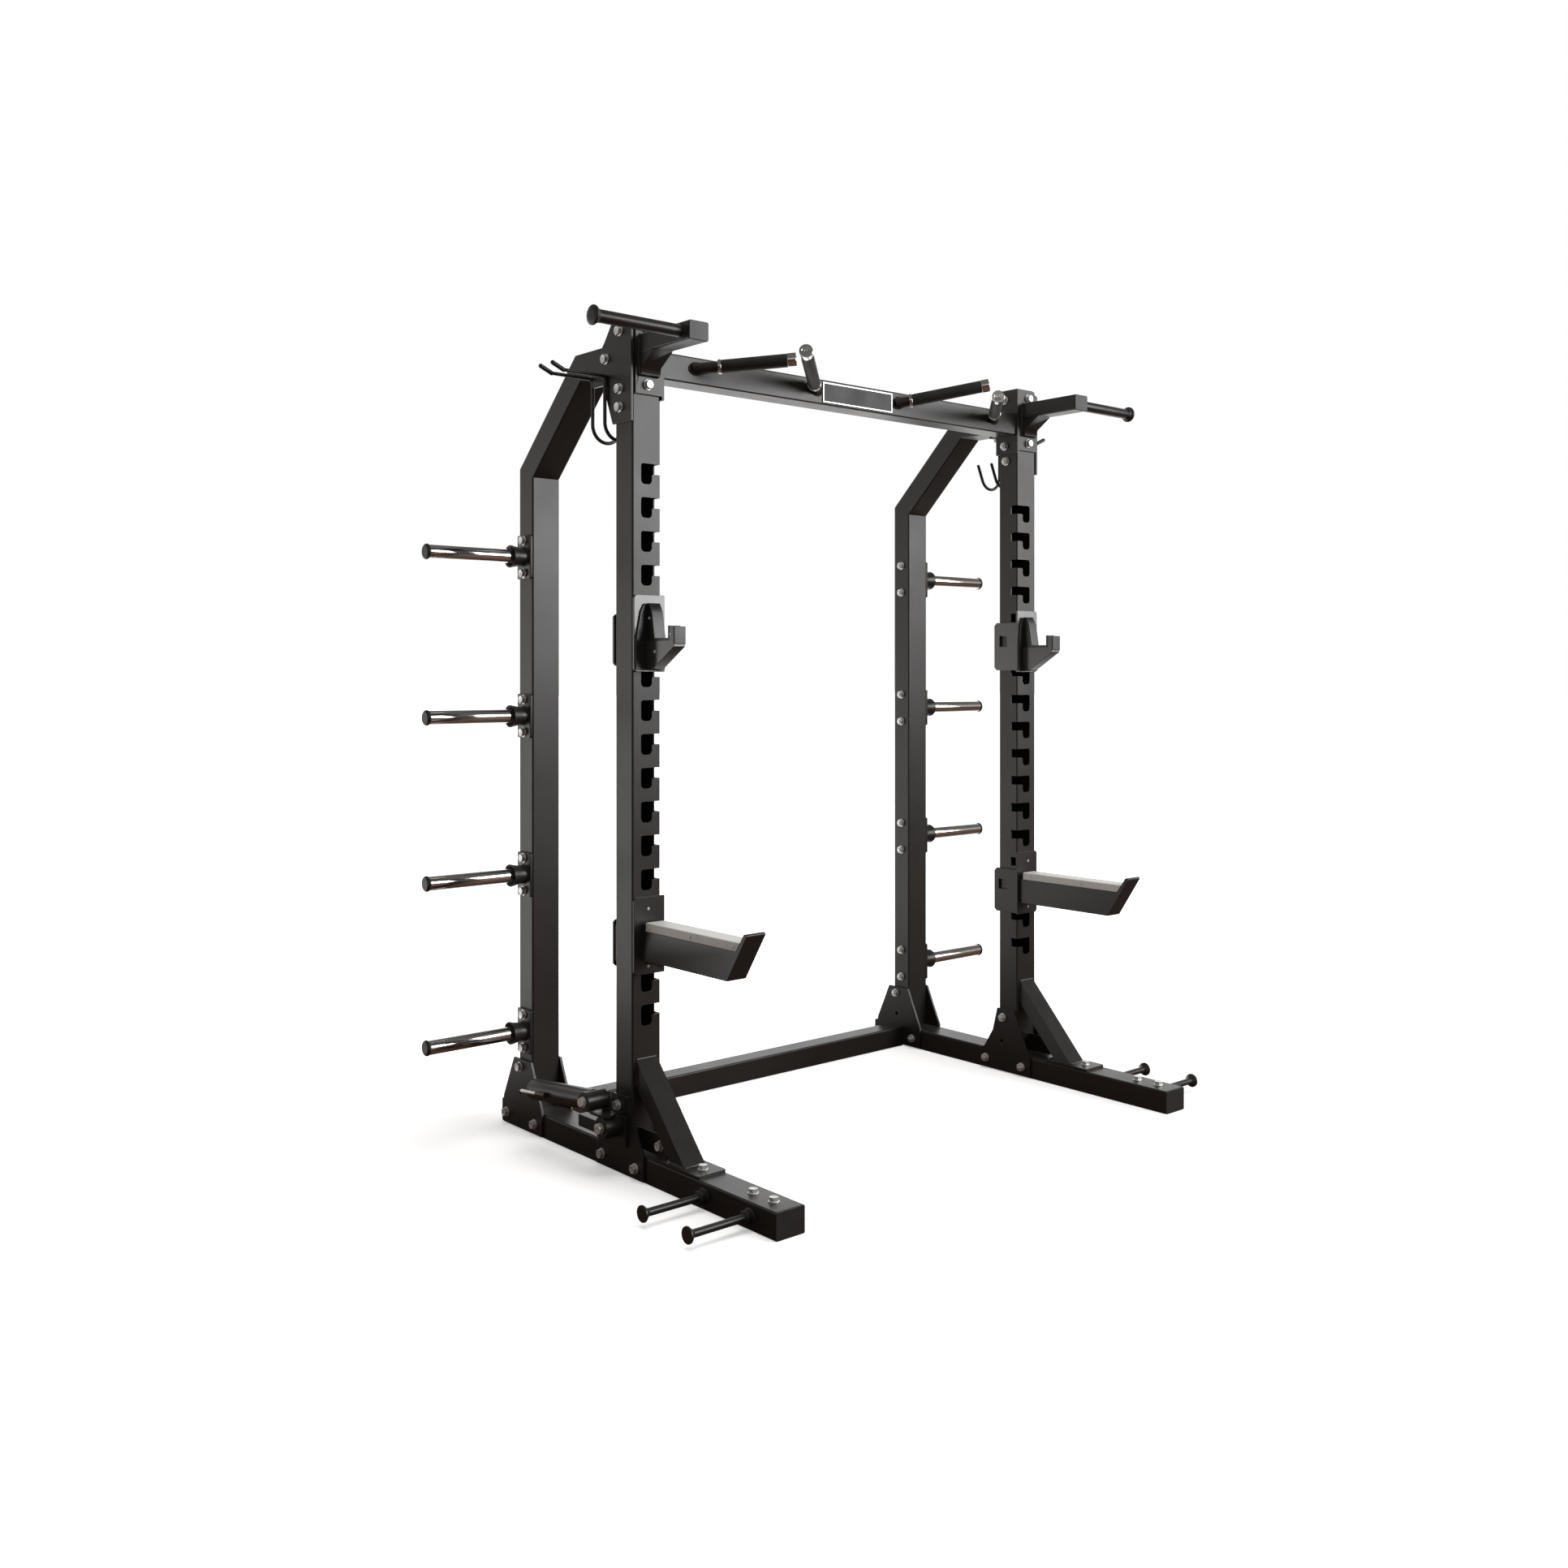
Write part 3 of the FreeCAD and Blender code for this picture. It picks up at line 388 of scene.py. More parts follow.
def welded(node):
    """The CAD node's surface as a bmesh with its split corners joined."""
    bm = bmesh.new()
    bm.from_mesh(frame["nodes"][node].data)
    bmesh.ops.remove_doubles(bm, verts=bm.verts, dist=1e-6)
    return bm


def refine(node, width, name):
    """The CAD piece with every outer edge eased by a width, as a finished piece."""
    bm = welded(node)
    bmesh.ops.dissolve_limit(bm, angle_limit=math.radians(0.4), verts=bm.verts, edges=bm.edges)
    sharp = [e for e in bm.edges if e.is_manifold and e.calc_face_angle_signed(0) > math.radians(35)]
    bmesh.ops.bevel(bm, geom=sharp, offset=width, offset_type="OFFSET", segments=2, profile=0.6,
                    affect="EDGES", clamp_overlap=True)
    return add_piece(name, bm, SLOT_OF[node], BODY_OF[node], [node], sharp=50, weighted=True)


def skin(bm, rings):
    """Faces between each closed ring of corners and the next."""
    for near, far in zip(rings, rings[1:]):
        for k in range(len(near)):
            following = (k + 1) % len(near)
            bm.faces.new((near[k], near[following], far[following], far[k]))


def lathe(bm, profile, origin, axis, segments=56):
    """Turns a profile of (distance along the axis, radius) points about the axis."""
    axis = axis.normalized()
    side = axis.orthogonal().normalized()
    up = axis.cross(side)
    turn = [2 * math.pi * k / segments for k in range(segments)]
    spokes = [side * math.cos(a) + up * math.sin(a) for a in turn]
    rings = []
    for along, radius in profile:
        centre = origin + axis * along
        rings.append([bm.verts.new(centre)] if radius < 1e-7 else
                     [bm.verts.new(centre + spoke * radius) for spoke in spokes])
    for near, far in zip(rings, rings[1:]):
        for k in range(segments):
            ring_corner = (k + 1) % segments
            corners = [near[0]] if len(near) == 1 else [near[k], near[ring_corner]]
            corners += [far[0]] if len(far) == 1 else [far[ring_corner], far[k]]
            if len(corners) > 2:
                bm.faces.new(corners)


def eased(points, radius, steps=4):
    """The profile with each of its inner corners rounded as far as its neighbours allow."""
    corners = [Vector(p) for p in points]
    rounded = [corners[0]]
    for before, corner, after in zip(corners, corners[1:], corners[2:]):
        into, onward = before - corner, after - corner
        reach = min(radius, into.length * 0.48, onward.length * 0.48)
        start, end = corner + into.normalized() * reach, corner + onward.normalized() * reach
        for k in range(steps + 1):
            t = k / steps
            rounded.append(start * (1 - t) ** 2 + corner * (2 * t * (1 - t)) + end * t ** 2)
    return rounded + [corners[-1]]


def turned(bm, profile, origin, axis, ease=0.0008, segments=56):
    lathe(bm, eased(profile, ease), origin, axis, segments)


def solids(node):
    """The corner points of each separate solid of a CAD node, as arrays."""
    bm = welded(node)
    waiting = set(bm.verts)
    found = []
    while waiting:
        edge_of_search = [waiting.pop()]
        points = []
        while edge_of_search:
            corner = edge_of_search.pop()
            points.append(tuple(corner.co))
            for link in corner.link_edges:
                other = link.other_vert(corner)
                if other in waiting:
                    waiting.remove(other)
                    edge_of_search.append(other)
        found.append(np.array(points))
    bm.free()
    return sorted(found, key=lambda p: tuple(np.round(p.mean(0), 4)))


def ends_of(points):
    """The two end centres of a round bar, whichever way it points."""
    centre = points.mean(0)
    axis = np.linalg.eigh(np.cov((points - centre).T))[1][:, -1]
    reach = (points - centre) @ axis
    middle = (reach.max() + reach.min()) / 2
    half = (reach.max() - reach.min()) / 2
    line = [points[np.abs(reach - end) < 1e-4 + half * 0.02].mean(0) for end in (middle - half, middle + half)]
    return Vector(line[0]), Vector(line[1])


BEAD_R = 2.6 * MM
RIPPLE = 3.6 * MM
RIPPLE_DEPTH = 0.14         # as a share of the bead's size


def rippled(size, crest):
    return size * (1 - RIPPLE_DEPTH + RIPPLE_DEPTH * abs(crest))


def bead(bm, path, radius=BEAD_R, ripple=RIPPLE, around=8):
    """A weld bead: a run of overlapping ripples along straight runs between the points."""
    for start, end in zip(path, path[1:]):
        run = end - start
        if run.length < radius:
            continue
        count = max(4, round(run.length / (ripple / 4)))
        profile = [(0.0, 0.0)]
        for k in range(count + 1):
            along = run.length * k / count
            close = min(1.0, 0.35 + min(along, run.length - along) / radius)
            profile.append((along, rippled(radius * close, math.sin(math.pi * along / ripple))))
        profile.append((run.length, 0.0))
        lathe(bm, profile, start, run, around)


def ring_path(centre, axis, radius, steps=40):
    axis = axis.normalized()
    side = axis.orthogonal().normalized()
    up = axis.cross(side)
    turn = [2 * math.pi * k / steps for k in range(steps + 1)]
    return [centre + (side * math.cos(a) + up * math.sin(a)) * radius for a in turn]


def round_bead(bm, centre, axis, radius, size=BEAD_R, ripple=RIPPLE, around=8):
    """A weld bead round a bar or tube."""
    steps = max(48, round(2 * math.pi * radius / (ripple / 4)))
    line = ring_path(centre, axis, radius, steps)[:-1]
    axis = axis.normalized()
    rings = []
    for k, point in enumerate(line):
        out = (point - centre).normalized()
        reach = rippled(size, math.sin(math.pi * k / 4))
        angles = [2 * math.pi * j / around for j in range(around)]
        rings.append([bm.verts.new(point + (out * math.cos(a) + axis * math.sin(a)) * reach) for a in angles])
    skin(bm, rings + rings[:1])


# ---------------------------------------------------------------- hardware

WASHER_R = 11.5 * MM
WASHER_H = 2.0 * MM
HEX_FLAT = 8.83 * MM
HEX_H = 8.0 * MM
HEAD_HOLLOW = 0.35 * MM
NUT_H = 7.2 * MM
NUT_HOLLOW = 0.1 * MM
SHANK_R = 5.0 * MM
SHANK_STANDS_OUT = 3.0 * MM
SHANK_IN_NUT = 1.5 * MM
THREAD_PITCH = 1.5 * MM


def hexagon_reach(angle, flat=HEX_FLAT):
    """Distance from the axis to the side of a hexagon, at an angle."""
    sixth = math.pi / 3
    return flat / math.cos((angle % sixth) - sixth / 2)


def hex_body(bm, base, axis, height, hollow=0.0, segments=72):
    """A forged hexagon whose corners are turned off at 30 degrees on its outer face."""
    side = axis.orthogonal().normalized()
    up = axis.cross(side)
    turn_r = HEX_FLAT * 0.97
    rings = [[], [], [], []]
    for k in range(segments):
        angle = 2 * math.pi * k / segments
        spoke = side * math.cos(angle) + up * math.sin(angle)
        reach = hexagon_reach(angle)
        cut = max(0.0, reach - turn_r) * math.tan(math.radians(30))
        for ring, (r, h) in zip(rings, ((reach, 0.0), (reach, height - cut), (turn_r, height),
                                        (turn_r * 0.78, height - hollow))):
            ring.append(bm.verts.new(base + axis * h + spoke * r))
    skin(bm, rings)
    bm.faces.new(rings[0])
    bm.faces.new(rings[-1])


def washer(bm, base, axis, radius=WASHER_R):
    turned(bm, [(0, SHANK_R), (0, radius), (WASHER_H, radius), (WASHER_H, SHANK_R)], base, axis, 0.0005, 48)


def thread_end(bm, base, axis, length):
    """The end of a threaded shank that stands out of a nut."""
    turns = int(length / THREAD_PITCH)
    profile = [(0.0, SHANK_R * 0.86)]
    for k in range(turns):
        start = k * THREAD_PITCH
        profile += [(start + THREAD_PITCH * 0.45, SHANK_R), (start + THREAD_PITCH * 0.95, SHANK_R * 0.88)]
    profile += [(length, SHANK_R * 0.78), (length, 0.0)]
    lathe(bm, profile, base, axis, 28)


def set_bolt(bm, face, axis, is_nut):
    """A washer with a bolt head on it, or with a nut and the end of the shank."""
    washer(bm, face, axis)
    seat = face + axis * WASHER_H
    if is_nut:
        hex_body(bm, seat, axis, NUT_H, NUT_HOLLOW)
        thread_end(bm, seat + axis * (HEX_H - SHANK_IN_NUT), axis, SHANK_IN_NUT + SHANK_STANDS_OUT)
    else:
        hex_body(bm, seat, axis, HEX_H, HEAD_HOLLOW)


def bolt_places(node):
    """Face point and outward direction of every bolt in a CAD group."""
    places = []
    for points in solids(node):
        low, high = points.min(0), points.max(0)
        across = np.abs((high - low) - 2 * WASHER_R)
        k = int(across.argmax())
        centre = (low + high) / 2
        for sign, end in ((1, high[k]), (-1, low[k])):
            rim = points[np.abs(points[:, k] - end) < 1e-4] - centre
            rim[:, k] = 0
            if np.linalg.norm(rim, axis=1).max() > SHANK_R * 1.3:
                face = centre.copy()
                face[k] = end - sign * (WASHER_H + HEX_H)
                axis = Vector((0, 0, 0))
                axis[k] = sign
                places.append((Vector(face), axis))
    return places


def make_bolts(node, name):
    bm = bmesh.new()
    for face, axis in bolt_places(node):
        is_nut = axis.x * face.x < 0
        set_bolt(bm, face, axis, is_nut)
    return add_piece(name, bm, "bolt_zinc", BODY_OF[node], [node], sharp=28)


def make_screws(node, name):
    """Small button heads with a hexagon socket."""
    bm = bmesh.new()
    for points in solids(node):
        low, high = points.min(0), points.max(0)
        size = high - low
        k = int(size.argmin())
        centre = (low + high) / 2
        wide_low = np.abs(points[:, k] - low[k]) < 1e-5
        sign = 1 if np.ptp(points[wide_low], axis=0).max() > size.max() * 0.6 else -1
        face = Vector(centre)
        face[k] = low[k] if sign > 0 else high[k]
        axis = Vector((0, 0, 0))
        axis[k] = sign
        radius, tall = float(size.max()) / 2, float(size.min())
        socket_r = radius * 0.42
        socket_floor = tall * 0.35
        dome = eased([(0, 0), (0, radius), (tall * 0.45, radius * 0.96), (tall * 0.97, radius * 0.6),
                      (tall, socket_r)], radius * 0.3)
        hollow = [Vector((socket_floor, socket_r * 0.94)), Vector((socket_floor, 0))]
        lathe(bm, dome + hollow, face, axis, 30)
    return add_piece(name, bm, "bolt_zinc", BODY_OF[node], [node], sharp=40)


# ---------------------------------------------------------------- frame

COATED_NODES = ["rear_cross_member", "pull_up_beam"] + [
    f"{name}_{side}" for name in ("base_rail", "front_post", "rear_post") for side in SIDES]
PLATE_NODES = ["front_foot_plates", "rear_foot_plates", "top_gusset", "top_bracket", "front_brace"]


def coat(node):
    data = frame["nodes"][node].data
    data.materials.clear()
    data.materials.append(MATERIALS[SLOT_OF[node]])


def make_frame():
    for node in COATED_NODES:
        coat(node)
    for name in PLATE_NODES:
        for side in SIDES:
            refine(f"{name}_{side}", 0.8 * MM, f"{name}_steel_{side}")


def outward(side):
    return -1 if side == "left" else 1


ARM_HALF = 25 * MM
FRONT_PLATE = 6 * MM        # thickness of a top bracket's front plate
WEDGE_DROP = 50 * MM        # height of the wedge under an arm, along the front plate
WEDGE_REACH = 56 * MM       # length of the wedge along the underside of the arm
WEDGE_BEAD = 2 * MM
STRUT_HALF = 27 * MM
STRUT_HEAD = 58 * MM        # height of a brace's strut where it meets the post
STRUT_FOOT = 52 * MM        # length of the strut where it meets its sole
SOLE = 6 * MM
TOE = 172 * MM              # front of the strut, ahead of the post
CORNER_GAP = 2 * MM         # what a bead leaves free at a corner that has one already


def line_bead(bm, start, end, *size):
    bead(bm, [Vector(start), Vector(end)], *size)


def make_top_bracket_welds(side):
    """Beads over the root of the arm and along both edges of the wedge under it."""
    cap_low, cap_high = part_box("arm_end_caps")
    post_low, post_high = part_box(f"front_post_{side}")
    middle = (post_low.x + post_high.x) / 2
    plate_y = post_low.y - FRONT_PLATE
    under, top = cap_low.z, cap_high.z
    wedge_foot = under - WEDGE_DROP
    wedge_tip = plate_y - WEDGE_REACH
    bm = bmesh.new()
    line_bead(bm, (middle - ARM_HALF, plate_y, top), (middle + ARM_HALF, plate_y, top))
    for x in (middle - ARM_HALF, middle + ARM_HALF):
        line_bead(bm, (x, plate_y, top - CORNER_GAP), (x, plate_y, wedge_foot + CORNER_GAP))
        line_bead(bm, (x, plate_y - 3 * CORNER_GAP, under), (x, wedge_tip + 2 * CORNER_GAP, under), WEDGE_BEAD)
    add_piece(f"top_bracket_welds_{side}", bm, "frame_black", "rack")


def make_brace_welds(side):
    """Beads round the foot of the sloping strut and round its head on the post."""
    post_low, post_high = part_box(f"front_post_{side}")
    middle = (post_low.x + post_high.x) / 2
    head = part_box(f"front_brace_{side}")[1].z
    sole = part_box(f"base_rail_{side}")[1].z + SOLE
    toe = post_low.y - TOE
    left, right = middle - STRUT_HALF, middle + STRUT_HALF
    bm = bmesh.new()
    line_bead(bm, (left, post_low.y, head), (right, post_low.y, head))
    line_bead(bm, (left, toe, sole), (right, toe, sole))
    for x in (left, right):
        line_bead(bm, (x, toe + CORNER_GAP, sole), (x, toe + STRUT_FOOT, sole))
        line_bead(bm, (x, post_low.y, head - CORNER_GAP), (x, post_low.y, head - STRUT_HEAD))
    add_piece(f"front_brace_welds_{side}", bm, "frame_black", "rack")


# ---------------------------------------------------------------- caps, pegs and handles

def make_caps():
    for node, name in (("rail_end_caps", "rail_end_plugs"), ("post_top_plugs", "post_end_plugs"),
                       ("arm_end_caps", "arm_end_plugs")):
        refine(node, 1.9 * MM, name)


FLANGE_THICK = 6 * MM
FLANGE_HALF = 52 * MM
NECK_R = 22 * MM
NECK_LONG = 16 * MM
DISH_R = 26.5 * MM
DISH_LIP_R = 24.5 * MM
DISH_BACK = 36 * MM         # places along the collar, from the flange outwards
DISH_FRONT = 38 * MM
DISH_FLOOR = 28 * MM
DISH_THROAT = 24 * MM
COLLAR_PLAY = 0.3 * MM
CORNER_EASE = 0.8 * MM


def make_storage_pegs(side):
    """Chrome tubes in dished collars on bolted flanges, with rounded end caps."""
    sign = outward(side)
    axis = X * sign
    flange_low, flange_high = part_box(f"peg_flanges_{side}")
    face = flange_low.x if sign > 0 else flange_high.x
    tubes, collars, beads = bmesh.new(), bmesh.new(), bmesh.new()
    for points in solids(f"storage_pegs_{side}"):
        centre = (points.min(0) + points.max(0)) / 2
        radius = float(np.ptp(points[:, 1])) / 2
        length = float(np.ptp(points[:, 0]))
        bore = radius + COLLAR_PLAY
        root = Vector((face, centre[1], centre[2])) + axis * FLANGE_THICK
        turned(tubes, [(0, 0), (0, radius), (length - 1 * MM, radius), (length, radius - 1 * MM),
                       (length, 0)], root, axis, 0.6 * MM, 72)
        turned(collars, [(0, radius), (0, NECK_R), (NECK_LONG, NECK_R), (DISH_BACK, DISH_R),
                         (DISH_FRONT, DISH_R), (DISH_FRONT, DISH_LIP_R), (DISH_FLOOR, bore),
                         (DISH_THROAT, bore)], root, axis, 1.2 * MM, 72)
        round_bead(beads, root, axis, NECK_R + COLLAR_PLAY, 2.2 * MM)
    add_piece(f"storage_peg_tubes_{side}", tubes, "peg_chrome", "rack", [f"storage_pegs_{side}"])
    for z in sorted({round(float(p.mean(0)[2]), 3) for p in solids(f"peg_flanges_{side}")}):
        rounded_plate(collars, face, sign, (flange_low.y, flange_high.y), z, FLANGE_THICK)
    add_piece(f"peg_collars_{side}", collars, "bracket_black", "rack", [f"peg_flanges_{side}"], sharp=40)
    add_piece(f"peg_welds_{side}", beads, "bracket_black", "rack")


def rounded_plate(bm, face, sign, y_range, z, thick, corner=5 * MM, ease=CORNER_EASE):
    """The bolted flange of a peg, with rounded corners and eased edges."""
    low = Vector((0, y_range[0], z - FLANGE_HALF))
    high = Vector((0, y_range[1], z + FLANGE_HALF))

    def outline(inset, x):
        ring = []
        reach = corner - inset
        ends = ((high.y, high.z), (low.y, high.z), (low.y, low.z), (high.y, low.z))
        for quarter, (y, z_end) in enumerate(ends):
            centre_y = y - math.copysign(corner, y - (low.y + high.y) / 2)
            centre_z = z_end - math.copysign(corner, z_end - z)
            for k in range(6):
                a = math.radians(90 * quarter + 18 * k)
                ring.append(bm.verts.new((x, centre_y + reach * math.cos(a), centre_z + reach * math.sin(a))))
        return ring

    layers = [outline(0, face), outline(0, face + sign * (thick - ease)),
              outline(ease * 0.3, face + sign * (thick - ease * 0.3)), outline(ease, face + sign * thick)]
    skin(bm, layers)
    bm.faces.new(layers[0])
    bm.faces.new(layers[-1])


def end_piece(points):
    """Root, outward axis, thickness and radius of a round piece on the outer end of a bar."""
    low, high = points.min(0), points.max(0)
    sign = 1 if low[0] > 0 else -1
    root = Vector((low[0] if sign > 0 else high[0], (low[1] + high[1]) / 2, (low[2] + high[2]) / 2))
    return root, X * sign, float(high[0] - low[0]), float(high[2] - low[2]) / 2


def make_peg_caps():
    bm = bmesh.new()
    for points in solids("peg_end_caps"):
        root, axis, thick, radius = end_piece(points)
        turned(bm, [(0, 0), (0, radius), (thick * 0.62, radius), (thick, radius * 0.8), (thick * 0.9, 0)],
               root, axis, 2.6 * MM, 64)
    add_piece("peg_rounded_caps", bm, "cap_plastic", "rack", ["peg_end_caps"])


HANDLE_R = 13.5 * MM
HANDLE_BEAD_R = 14.6 * MM
KNOB_NECK_R = 15.2 * MM
KNOB_SKIRT = 6 * MM         # how far a knob's neck runs back over the bar


def make_handles():
    """Wide-grip bars welded to the arms, with mushroom knobs."""
    knobs = bmesh.new()
    for points in solids("handle_knobs"):
        root, axis, thick, radius = end_piece(points)
        turned(knobs, [(-KNOB_SKIRT, HANDLE_BEAD_R), (-1 * MM, KNOB_NECK_R), (thick * 0.28, radius),
                       (thick * 0.7, radius), (thick, radius * 0.62), (thick, 0)], root, axis, 4 * MM, 64)
    add_piece("handle_mushroom_knobs", knobs, "cap_plastic", "rack", ["handle_knobs"])
    for side in SIDES:
        sign = outward(side)
        low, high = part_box(f"wide_grip_handle_{side}")
        root = Vector((low.x if sign > 0 else high.x, (low.y + high.y) / 2, (low.z + high.z) / 2))
        length = high.x - low.x
        bm = bmesh.new()
        turned(bm, [(0, 0), (0, HANDLE_R), (length, HANDLE_R), (length, 0)], root, X * sign, 0.4 * MM, 64)
        round_bead(bm, root, X, HANDLE_BEAD_R, 2.8 * MM)
        add_piece(f"wide_grip_bar_{side}", bm, "frame_black", "rack", [f"wide_grip_handle_{side}"])


STUB_R = 13 * MM
STUB_BURIED = 6 * MM        # how far a stub reaches into the beam
GRIP_R = 15 * MM
GRIP_RIBS = (0.12, 0.88)    # places of the raised ribs, as shares of the sleeve
RIB_HALF = 1.5 * MM
RIB_H = 0.25 * MM
RING_R = 16.5 * MM
RING_LONG = 8 * MM
TIP_R = 15.8 * MM
TIP_LONG = 20 * MM
TIP_RECESS = 1.2 * MM
TIP_SOCKET = 4 * MM


def turn_sleeve(bm, root, axis, length):
    turned(bm, [(0, 0), (0, GRIP_R), (length, GRIP_R), (length, 0)], root, axis, 1.2 * MM)
    for share in GRIP_RIBS:
        rib = length * share
        turned(bm, [(rib - RIB_HALF, GRIP_R * 0.98), (rib, GRIP_R + RIB_H), (rib + RIB_HALF, GRIP_R * 0.98)],
               root, axis, 1.0 * MM)


def turn_tip(bm, root, axis):
    """A chrome end with a shallow recess and a small socket in its middle."""
    recess, floor = TIP_LONG - TIP_RECESS, TIP_LONG - TIP_SOCKET
    turned(bm, [(0, 0), (0, TIP_R), (TIP_LONG, TIP_R), (TIP_LONG, TIP_R * 0.62), (recess, TIP_R * 0.56),
                (recess, TIP_R * 0.2), (floor, TIP_R * 0.2), (floor, 0)], root, axis, 1.4 * MM, 64)


def make_grips():
    """The four angled pull-up grips: a welded stub, a ring, a rubber sleeve and a tip on each."""
    pieces = {name: bmesh.new() for name in ("stubs", "rings", "sleeves", "tips")}
    beam_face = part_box("pull_up_beam")[0].y
    for sleeve in solids("grip_sleeves"):
        near, far = sorted(ends_of(sleeve), key=lambda end: -end.y)
        axis = (far - near).normalized()
        turn_sleeve(pieces["sleeves"], near, axis, (far - near).length)
        turned(pieces["rings"], [(-RING_LONG, 0), (-RING_LONG, RING_R), (0, RING_R), (0, 0)], near, axis,
               1.6 * MM, 64)
        turn_tip(pieces["tips"], far, axis)
        root = near + axis * ((beam_face - near.y) / axis.y)
        length = (near - root).length
        turned(pieces["stubs"], [(-STUB_BURIED, 0), (-STUB_BURIED, STUB_R), (length, STUB_R), (length, 0)],
               root, axis, 0.4 * MM)
        saddle_bead(pieces["stubs"], root, axis, STUB_R)
    for name, slot in (("stubs", "frame_black"), ("rings", "grip_chrome"), ("sleeves", "grip_rubber"),
                       ("tips", "grip_chrome")):
        add_piece(f"pull_up_grip_{name}", pieces[name], slot, "rack", [f"grip_{name}"])


def saddle_bead(bm, centre, axis, radius, size=2.8 * MM, around=8):
    """The bead where a slanted round bar meets the flat front of the beam."""
    flat = axis.cross(Z).normalized()
    steps = 96
    rings = []
    for k in range(steps):
        angle = 2 * math.pi * k / steps
        spoke = flat * math.cos(angle) + Z * math.sin(angle)
        point = centre + spoke * radius
        point -= axis * ((point.y - centre.y) / axis.y)
        reach = rippled(size, math.sin(math.pi * k / 4))
        out = Vector((point.x - centre.x, 0, point.z - centre.z)).normalized()
        angles = [2 * math.pi * j / around for j in range(around)]
        rings.append([bm.verts.new(point + (out * math.cos(a) - Y * math.sin(a)) * reach) for a in angles])
    skin(bm, rings + rings[:1])


def make_name_plate():
    """A blank plate with a bright edge line."""
    refine("name_plate", 0.5 * MM, "beam_name_plate")
    low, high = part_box("name_plate")
    bm = bmesh.new()
    line, lift, margin = 2.6 * MM, 0.35 * MM, 1.2 * MM
    left, right, foot, head = low.x + margin, high.x - margin, low.z + margin, high.z - margin
    outer = [(left, foot), (right, foot), (right, head), (left, head)]
    inner = [(x + math.copysign(line, -x), z + math.copysign(line, (low.z + high.z) / 2 - z)) for x, z in outer]
    levels = []
    for y in (low.y + 0.5 * MM, low.y - lift):
        levels.append([[bm.verts.new((x, y, z)) for x, z in ring] for ring in (outer, inner)])
    (back_out, back_in), (front_out, front_in) = levels
    for k in range(4):
        following = (k + 1) % 4
        for one, other in ((front_out, front_in), (back_out, back_in),
                           (front_out, back_out), (front_in, back_in)):
            bm.faces.new((one[k], one[following], other[following], other[k]))
    add_piece("name_plate_edge_line", bm, "badge", "rack", material="badge_edge")


BAND_PEG_R = 8 * MM
BAND_FOOT_R = 14 * MM
BAND_FOOT_LONG = 14 * MM
BAND_HEAD_R = 17 * MM
BAND_HEAD_LONG = 14 * MM    # length of the flared end, with its rim


def make_band_pegs(side):
    """Turned pegs with a round foot and a flared end that keeps a band on."""
    sign = outward(side)
    bm = bmesh.new()
    rail_low, rail_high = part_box(f"base_rail_{side}")
    face = rail_high.x if sign > 0 else rail_low.x
    for points in solids(f"band_pegs_{side}"):
        low, high = points.min(0), points.max(0)
        root = Vector((face, (low[1] + high[1]) / 2, (low[2] + high[2]) / 2))
        length = float(high[0] - low[0])
        foot = [(0, 0), (0, BAND_FOOT_R), (BAND_FOOT_LONG, BAND_FOOT_R),
                (BAND_FOOT_LONG + 1.5 * MM, BAND_FOOT_R - 1.5 * MM), (BAND_FOOT_LONG + 1.5 * MM, BAND_PEG_R)]
        flare = [(length - BAND_HEAD_LONG, BAND_PEG_R), (length - 5.5 * MM, BAND_HEAD_R - 1.4 * MM),
                 (length - 4.2 * MM, BAND_HEAD_R), (length - 0.8 * MM, BAND_HEAD_R),
                 (length, BAND_HEAD_R - 1 * MM), (length, 0)]
        turned(bm, foot + flare, root, X * sign, 1.5 * MM, 64)
        round_bead(bm, root, X, BAND_FOOT_R + 0.6 * MM, 2.2 * MM)
    add_piece(f"band_pegs_turned_{side}", bm, "bracket_black", "rack", [f"band_pegs_{side}"])


def make_hooks():
    """The bent rods and their vinyl tips keep the frame's own surfaces."""
    for side in SIDES:
        coat(f"accessory_hook_{side}")
    coat("hook_tips")


# ---------------------------------------------------------------- brackets and landmine

def make_brackets(side):
    refine(f"j_cup_{side}", 0.9 * MM, f"j_cup_steel_{side}")
    refine(f"j_cup_liner_{side}", 1.8 * MM, f"j_cup_liner_moulded_{side}")
    make_screws(f"j_cup_screws_{side}", f"j_cup_button_screws_{side}")
    refine(f"safety_arm_{side}", 0.9 * MM, f"safety_arm_steel_{side}")
    refine(f"safety_strip_{side}", 1.2 * MM, f"safety_wear_strip_{side}")
    make_screws(f"safety_screws_{side}", f"safety_button_screws_{side}")


def make_landmine():
    for node in ("landmine_mount", "landmine_swivel", "landmine_sleeve"):
        refine(node, 0.8 * MM, node + "_steel")
    coat("landmine_pin")
    coat("landmine_tilt_bolt")
    make_bolts("landmine_bolts", "landmine_hex_bolts")


# ---------------------------------------------------------------- stage

BACKDROP = (0.652, 0.758, 0.0)
REARWARDS = (0.1, 1.0, 0.0)
FLOOR_WHITE = (0.93, 0.925, 0.92)
FLOOR_WARM = (0.105, 0.058, 0.038)
LOW_WALLS = (0.44, 0.425, 0.41)
HIGH_WALLS = (0.13, 0.125, 0.12)
BACKDROP_GLOW = (1.25, 1.25, 1.25)
WHITE = (1.0, 1.0, 1.0)
EYE_GLOW = 0.42             # what the floor gives off to the eye
FAR_GLOW = 0.95             # what its far side gives off to all


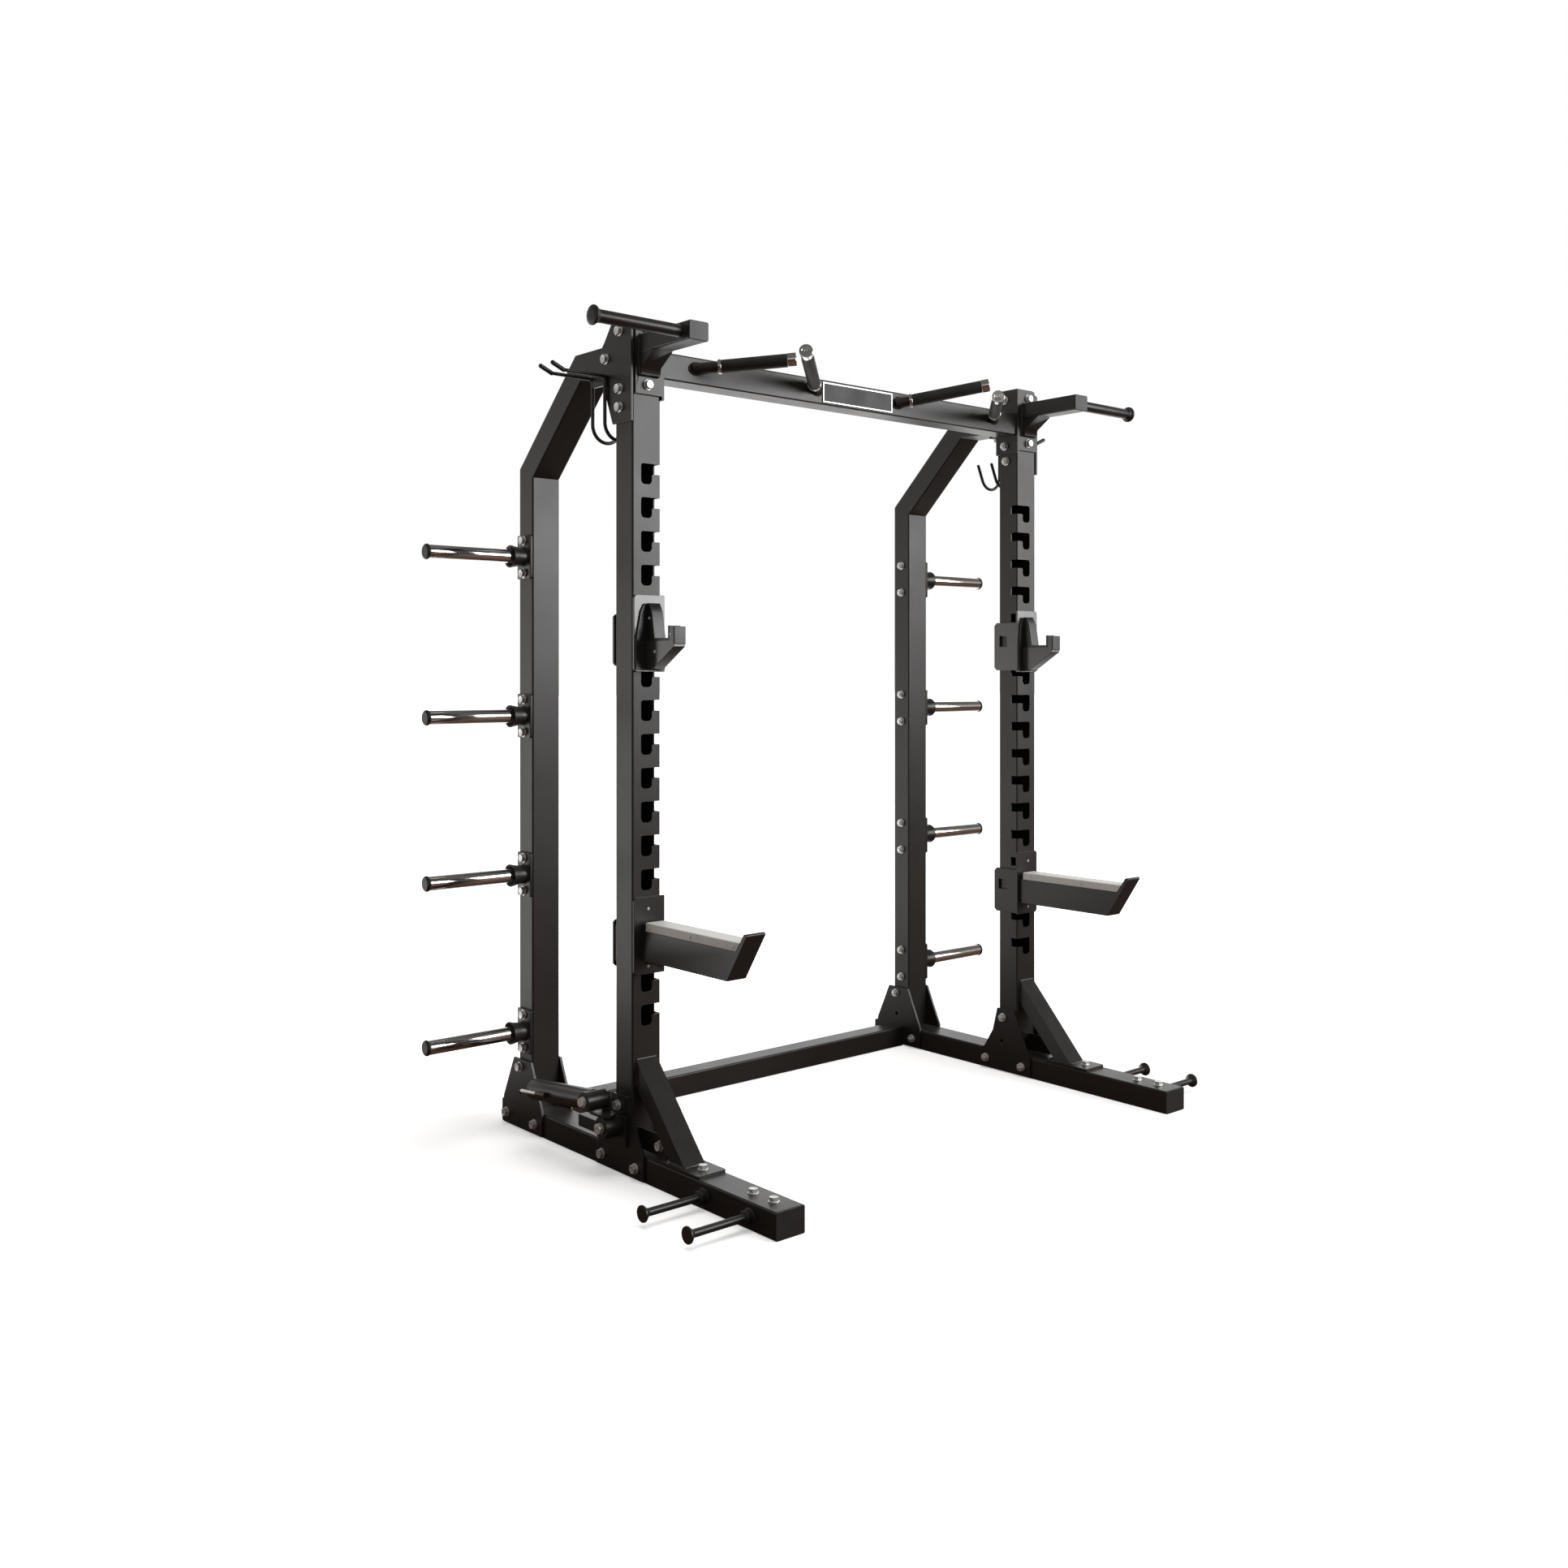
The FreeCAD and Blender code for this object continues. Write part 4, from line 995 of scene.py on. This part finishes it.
def distance_along(tree, vector, heading):
    """How far a direction or place lies along a heading."""
    node = tree.nodes.new("ShaderNodeVectorMath")
    node.operation = "DOT_PRODUCT"
    tree.links.new(vector, node.inputs[0])
    node.inputs[1].default_value = heading
    return node.outputs["Value"]


def make_floor():
    """A pale floor that is white to the eye, and warm and dim in reflections on the near side."""
    bm = bmesh.new()
    bmesh.ops.create_grid(bm, x_segments=1, y_segments=1, size=60)
    mesh = bpy.data.meshes.new("floor")
    bm.to_mesh(mesh)
    bm.free()
    material, tree, shader = new_material("pale_floor")
    seen = tree.nodes.new("ShaderNodeLightPath").outputs["Is Camera Ray"]
    far_side = mapped(tree, distance_along(tree, place(tree), REARWARDS), 0.5, 1.8)
    reflected = blend(tree, far_side, FLOOR_WARM, FLOOR_WHITE)
    tree.links.new(blend(tree, seen, reflected, FLOOR_WHITE), shader.inputs["Base Color"])
    shader.inputs["Roughness"].default_value = 0.7
    shader.inputs["Specular IOR Level"].default_value = 0.1
    shader.inputs["Emission Color"].default_value = (1, 0.995, 0.99, 1)
    glow = maths(tree, "MULTIPLY", seen, EYE_GLOW)
    tree.links.new(maths(tree, "ADD", glow, maths(tree, "MULTIPLY", far_side, FAR_GLOW)),
                   shader.inputs["Emission Strength"])
    mesh.materials.append(material)
    floor = bpy.data.objects.new("floor", mesh)
    bpy.context.scene.collection.objects.link(floor)


def soft_light(name, place_at, aim, size, radiance, mirrored=True):
    data = bpy.data.lights.new(name, "AREA")
    data.shape = "RECTANGLE"
    data.size, data.size_y = size
    data.energy = radiance * math.pi * size[0] * size[1]
    light = bpy.data.objects.new(name, data)
    light.location = place_at
    light.rotation_euler = (Vector(aim) - Vector(place_at)).to_track_quat("-Z", "Y").to_euler()
    light.visible_glossy = mirrored
    bpy.context.scene.collection.objects.link(light)


def make_world():
    """White to the eye; in reflections a dim studio with a bright backdrop low behind the rack."""
    world = bpy.data.worlds.new("studio")
    world.use_nodes = True
    tree = world.node_tree
    tree.nodes.clear()
    where = tree.nodes.new("ShaderNodeTexCoord").outputs["Generated"]
    parts = tree.nodes.new("ShaderNodeSeparateXYZ")
    tree.links.new(where, parts.inputs[0])
    behind = mapped(tree, distance_along(tree, where, BACKDROP), 0.45, 0.8)
    low = mapped(tree, parts.outputs["Z"], 0.62, 0.40)
    height = mapped(tree, parts.outputs["Z"], 0.16, 0.5)
    walls = blend(tree, height, LOW_WALLS, HIGH_WALLS)
    studio = blend(tree, maths(tree, "MULTIPLY", behind, low), walls, BACKDROP_GLOW)
    seen = tree.nodes.new("ShaderNodeLightPath").outputs["Is Camera Ray"]
    background = tree.nodes.new("ShaderNodeBackground")
    tree.links.new(blend(tree, seen, studio, WHITE), background.inputs["Color"])
    output = tree.nodes.new("ShaderNodeOutputWorld")
    tree.links.new(background.outputs[0], output.inputs["Surface"])
    bpy.context.scene.world = world


def make_lights():
    make_world()
    soft_light("front_softbox", place_at=(3.1, -4.5, 2.5), aim=(0, 0, 1.6), size=(4.2, 2.8), radiance=6.2)
    soft_light("overhead_softbox", place_at=(-0.4, -0.6, 4.3), aim=(0, 0, 0), size=(3.0, 3.0), radiance=4.0,
               mirrored=False)
    soft_light("side_softbox", place_at=(-3.6, 4.7, 1.1), aim=(-0.4, 0, 0.9), size=(1.6, 2.2), radiance=0.6)
    bpy.context.scene.view_settings.view_transform = "Standard"


# ---------------------------------------------------------------- build

make_camera()
make_materials()
make_frame()
for side_name in SIDES:
    make_top_bracket_welds(side_name)
    make_brace_welds(side_name)
make_caps()
make_handles()
make_grips()
make_name_plate()
make_peg_caps()
make_hooks()
for side_name in SIDES:
    make_storage_pegs(side_name)
    make_band_pegs(side_name)
    make_brackets(side_name)
for bolt_node, piece_name in (("top_bolts", "top_hex_bolts"), ("foot_bolts", "foot_hex_bolts"),
                              ("peg_bolts", "peg_hex_bolts")):
    make_bolts(bolt_node, piece_name)
make_landmine()
make_floor()
make_lights()
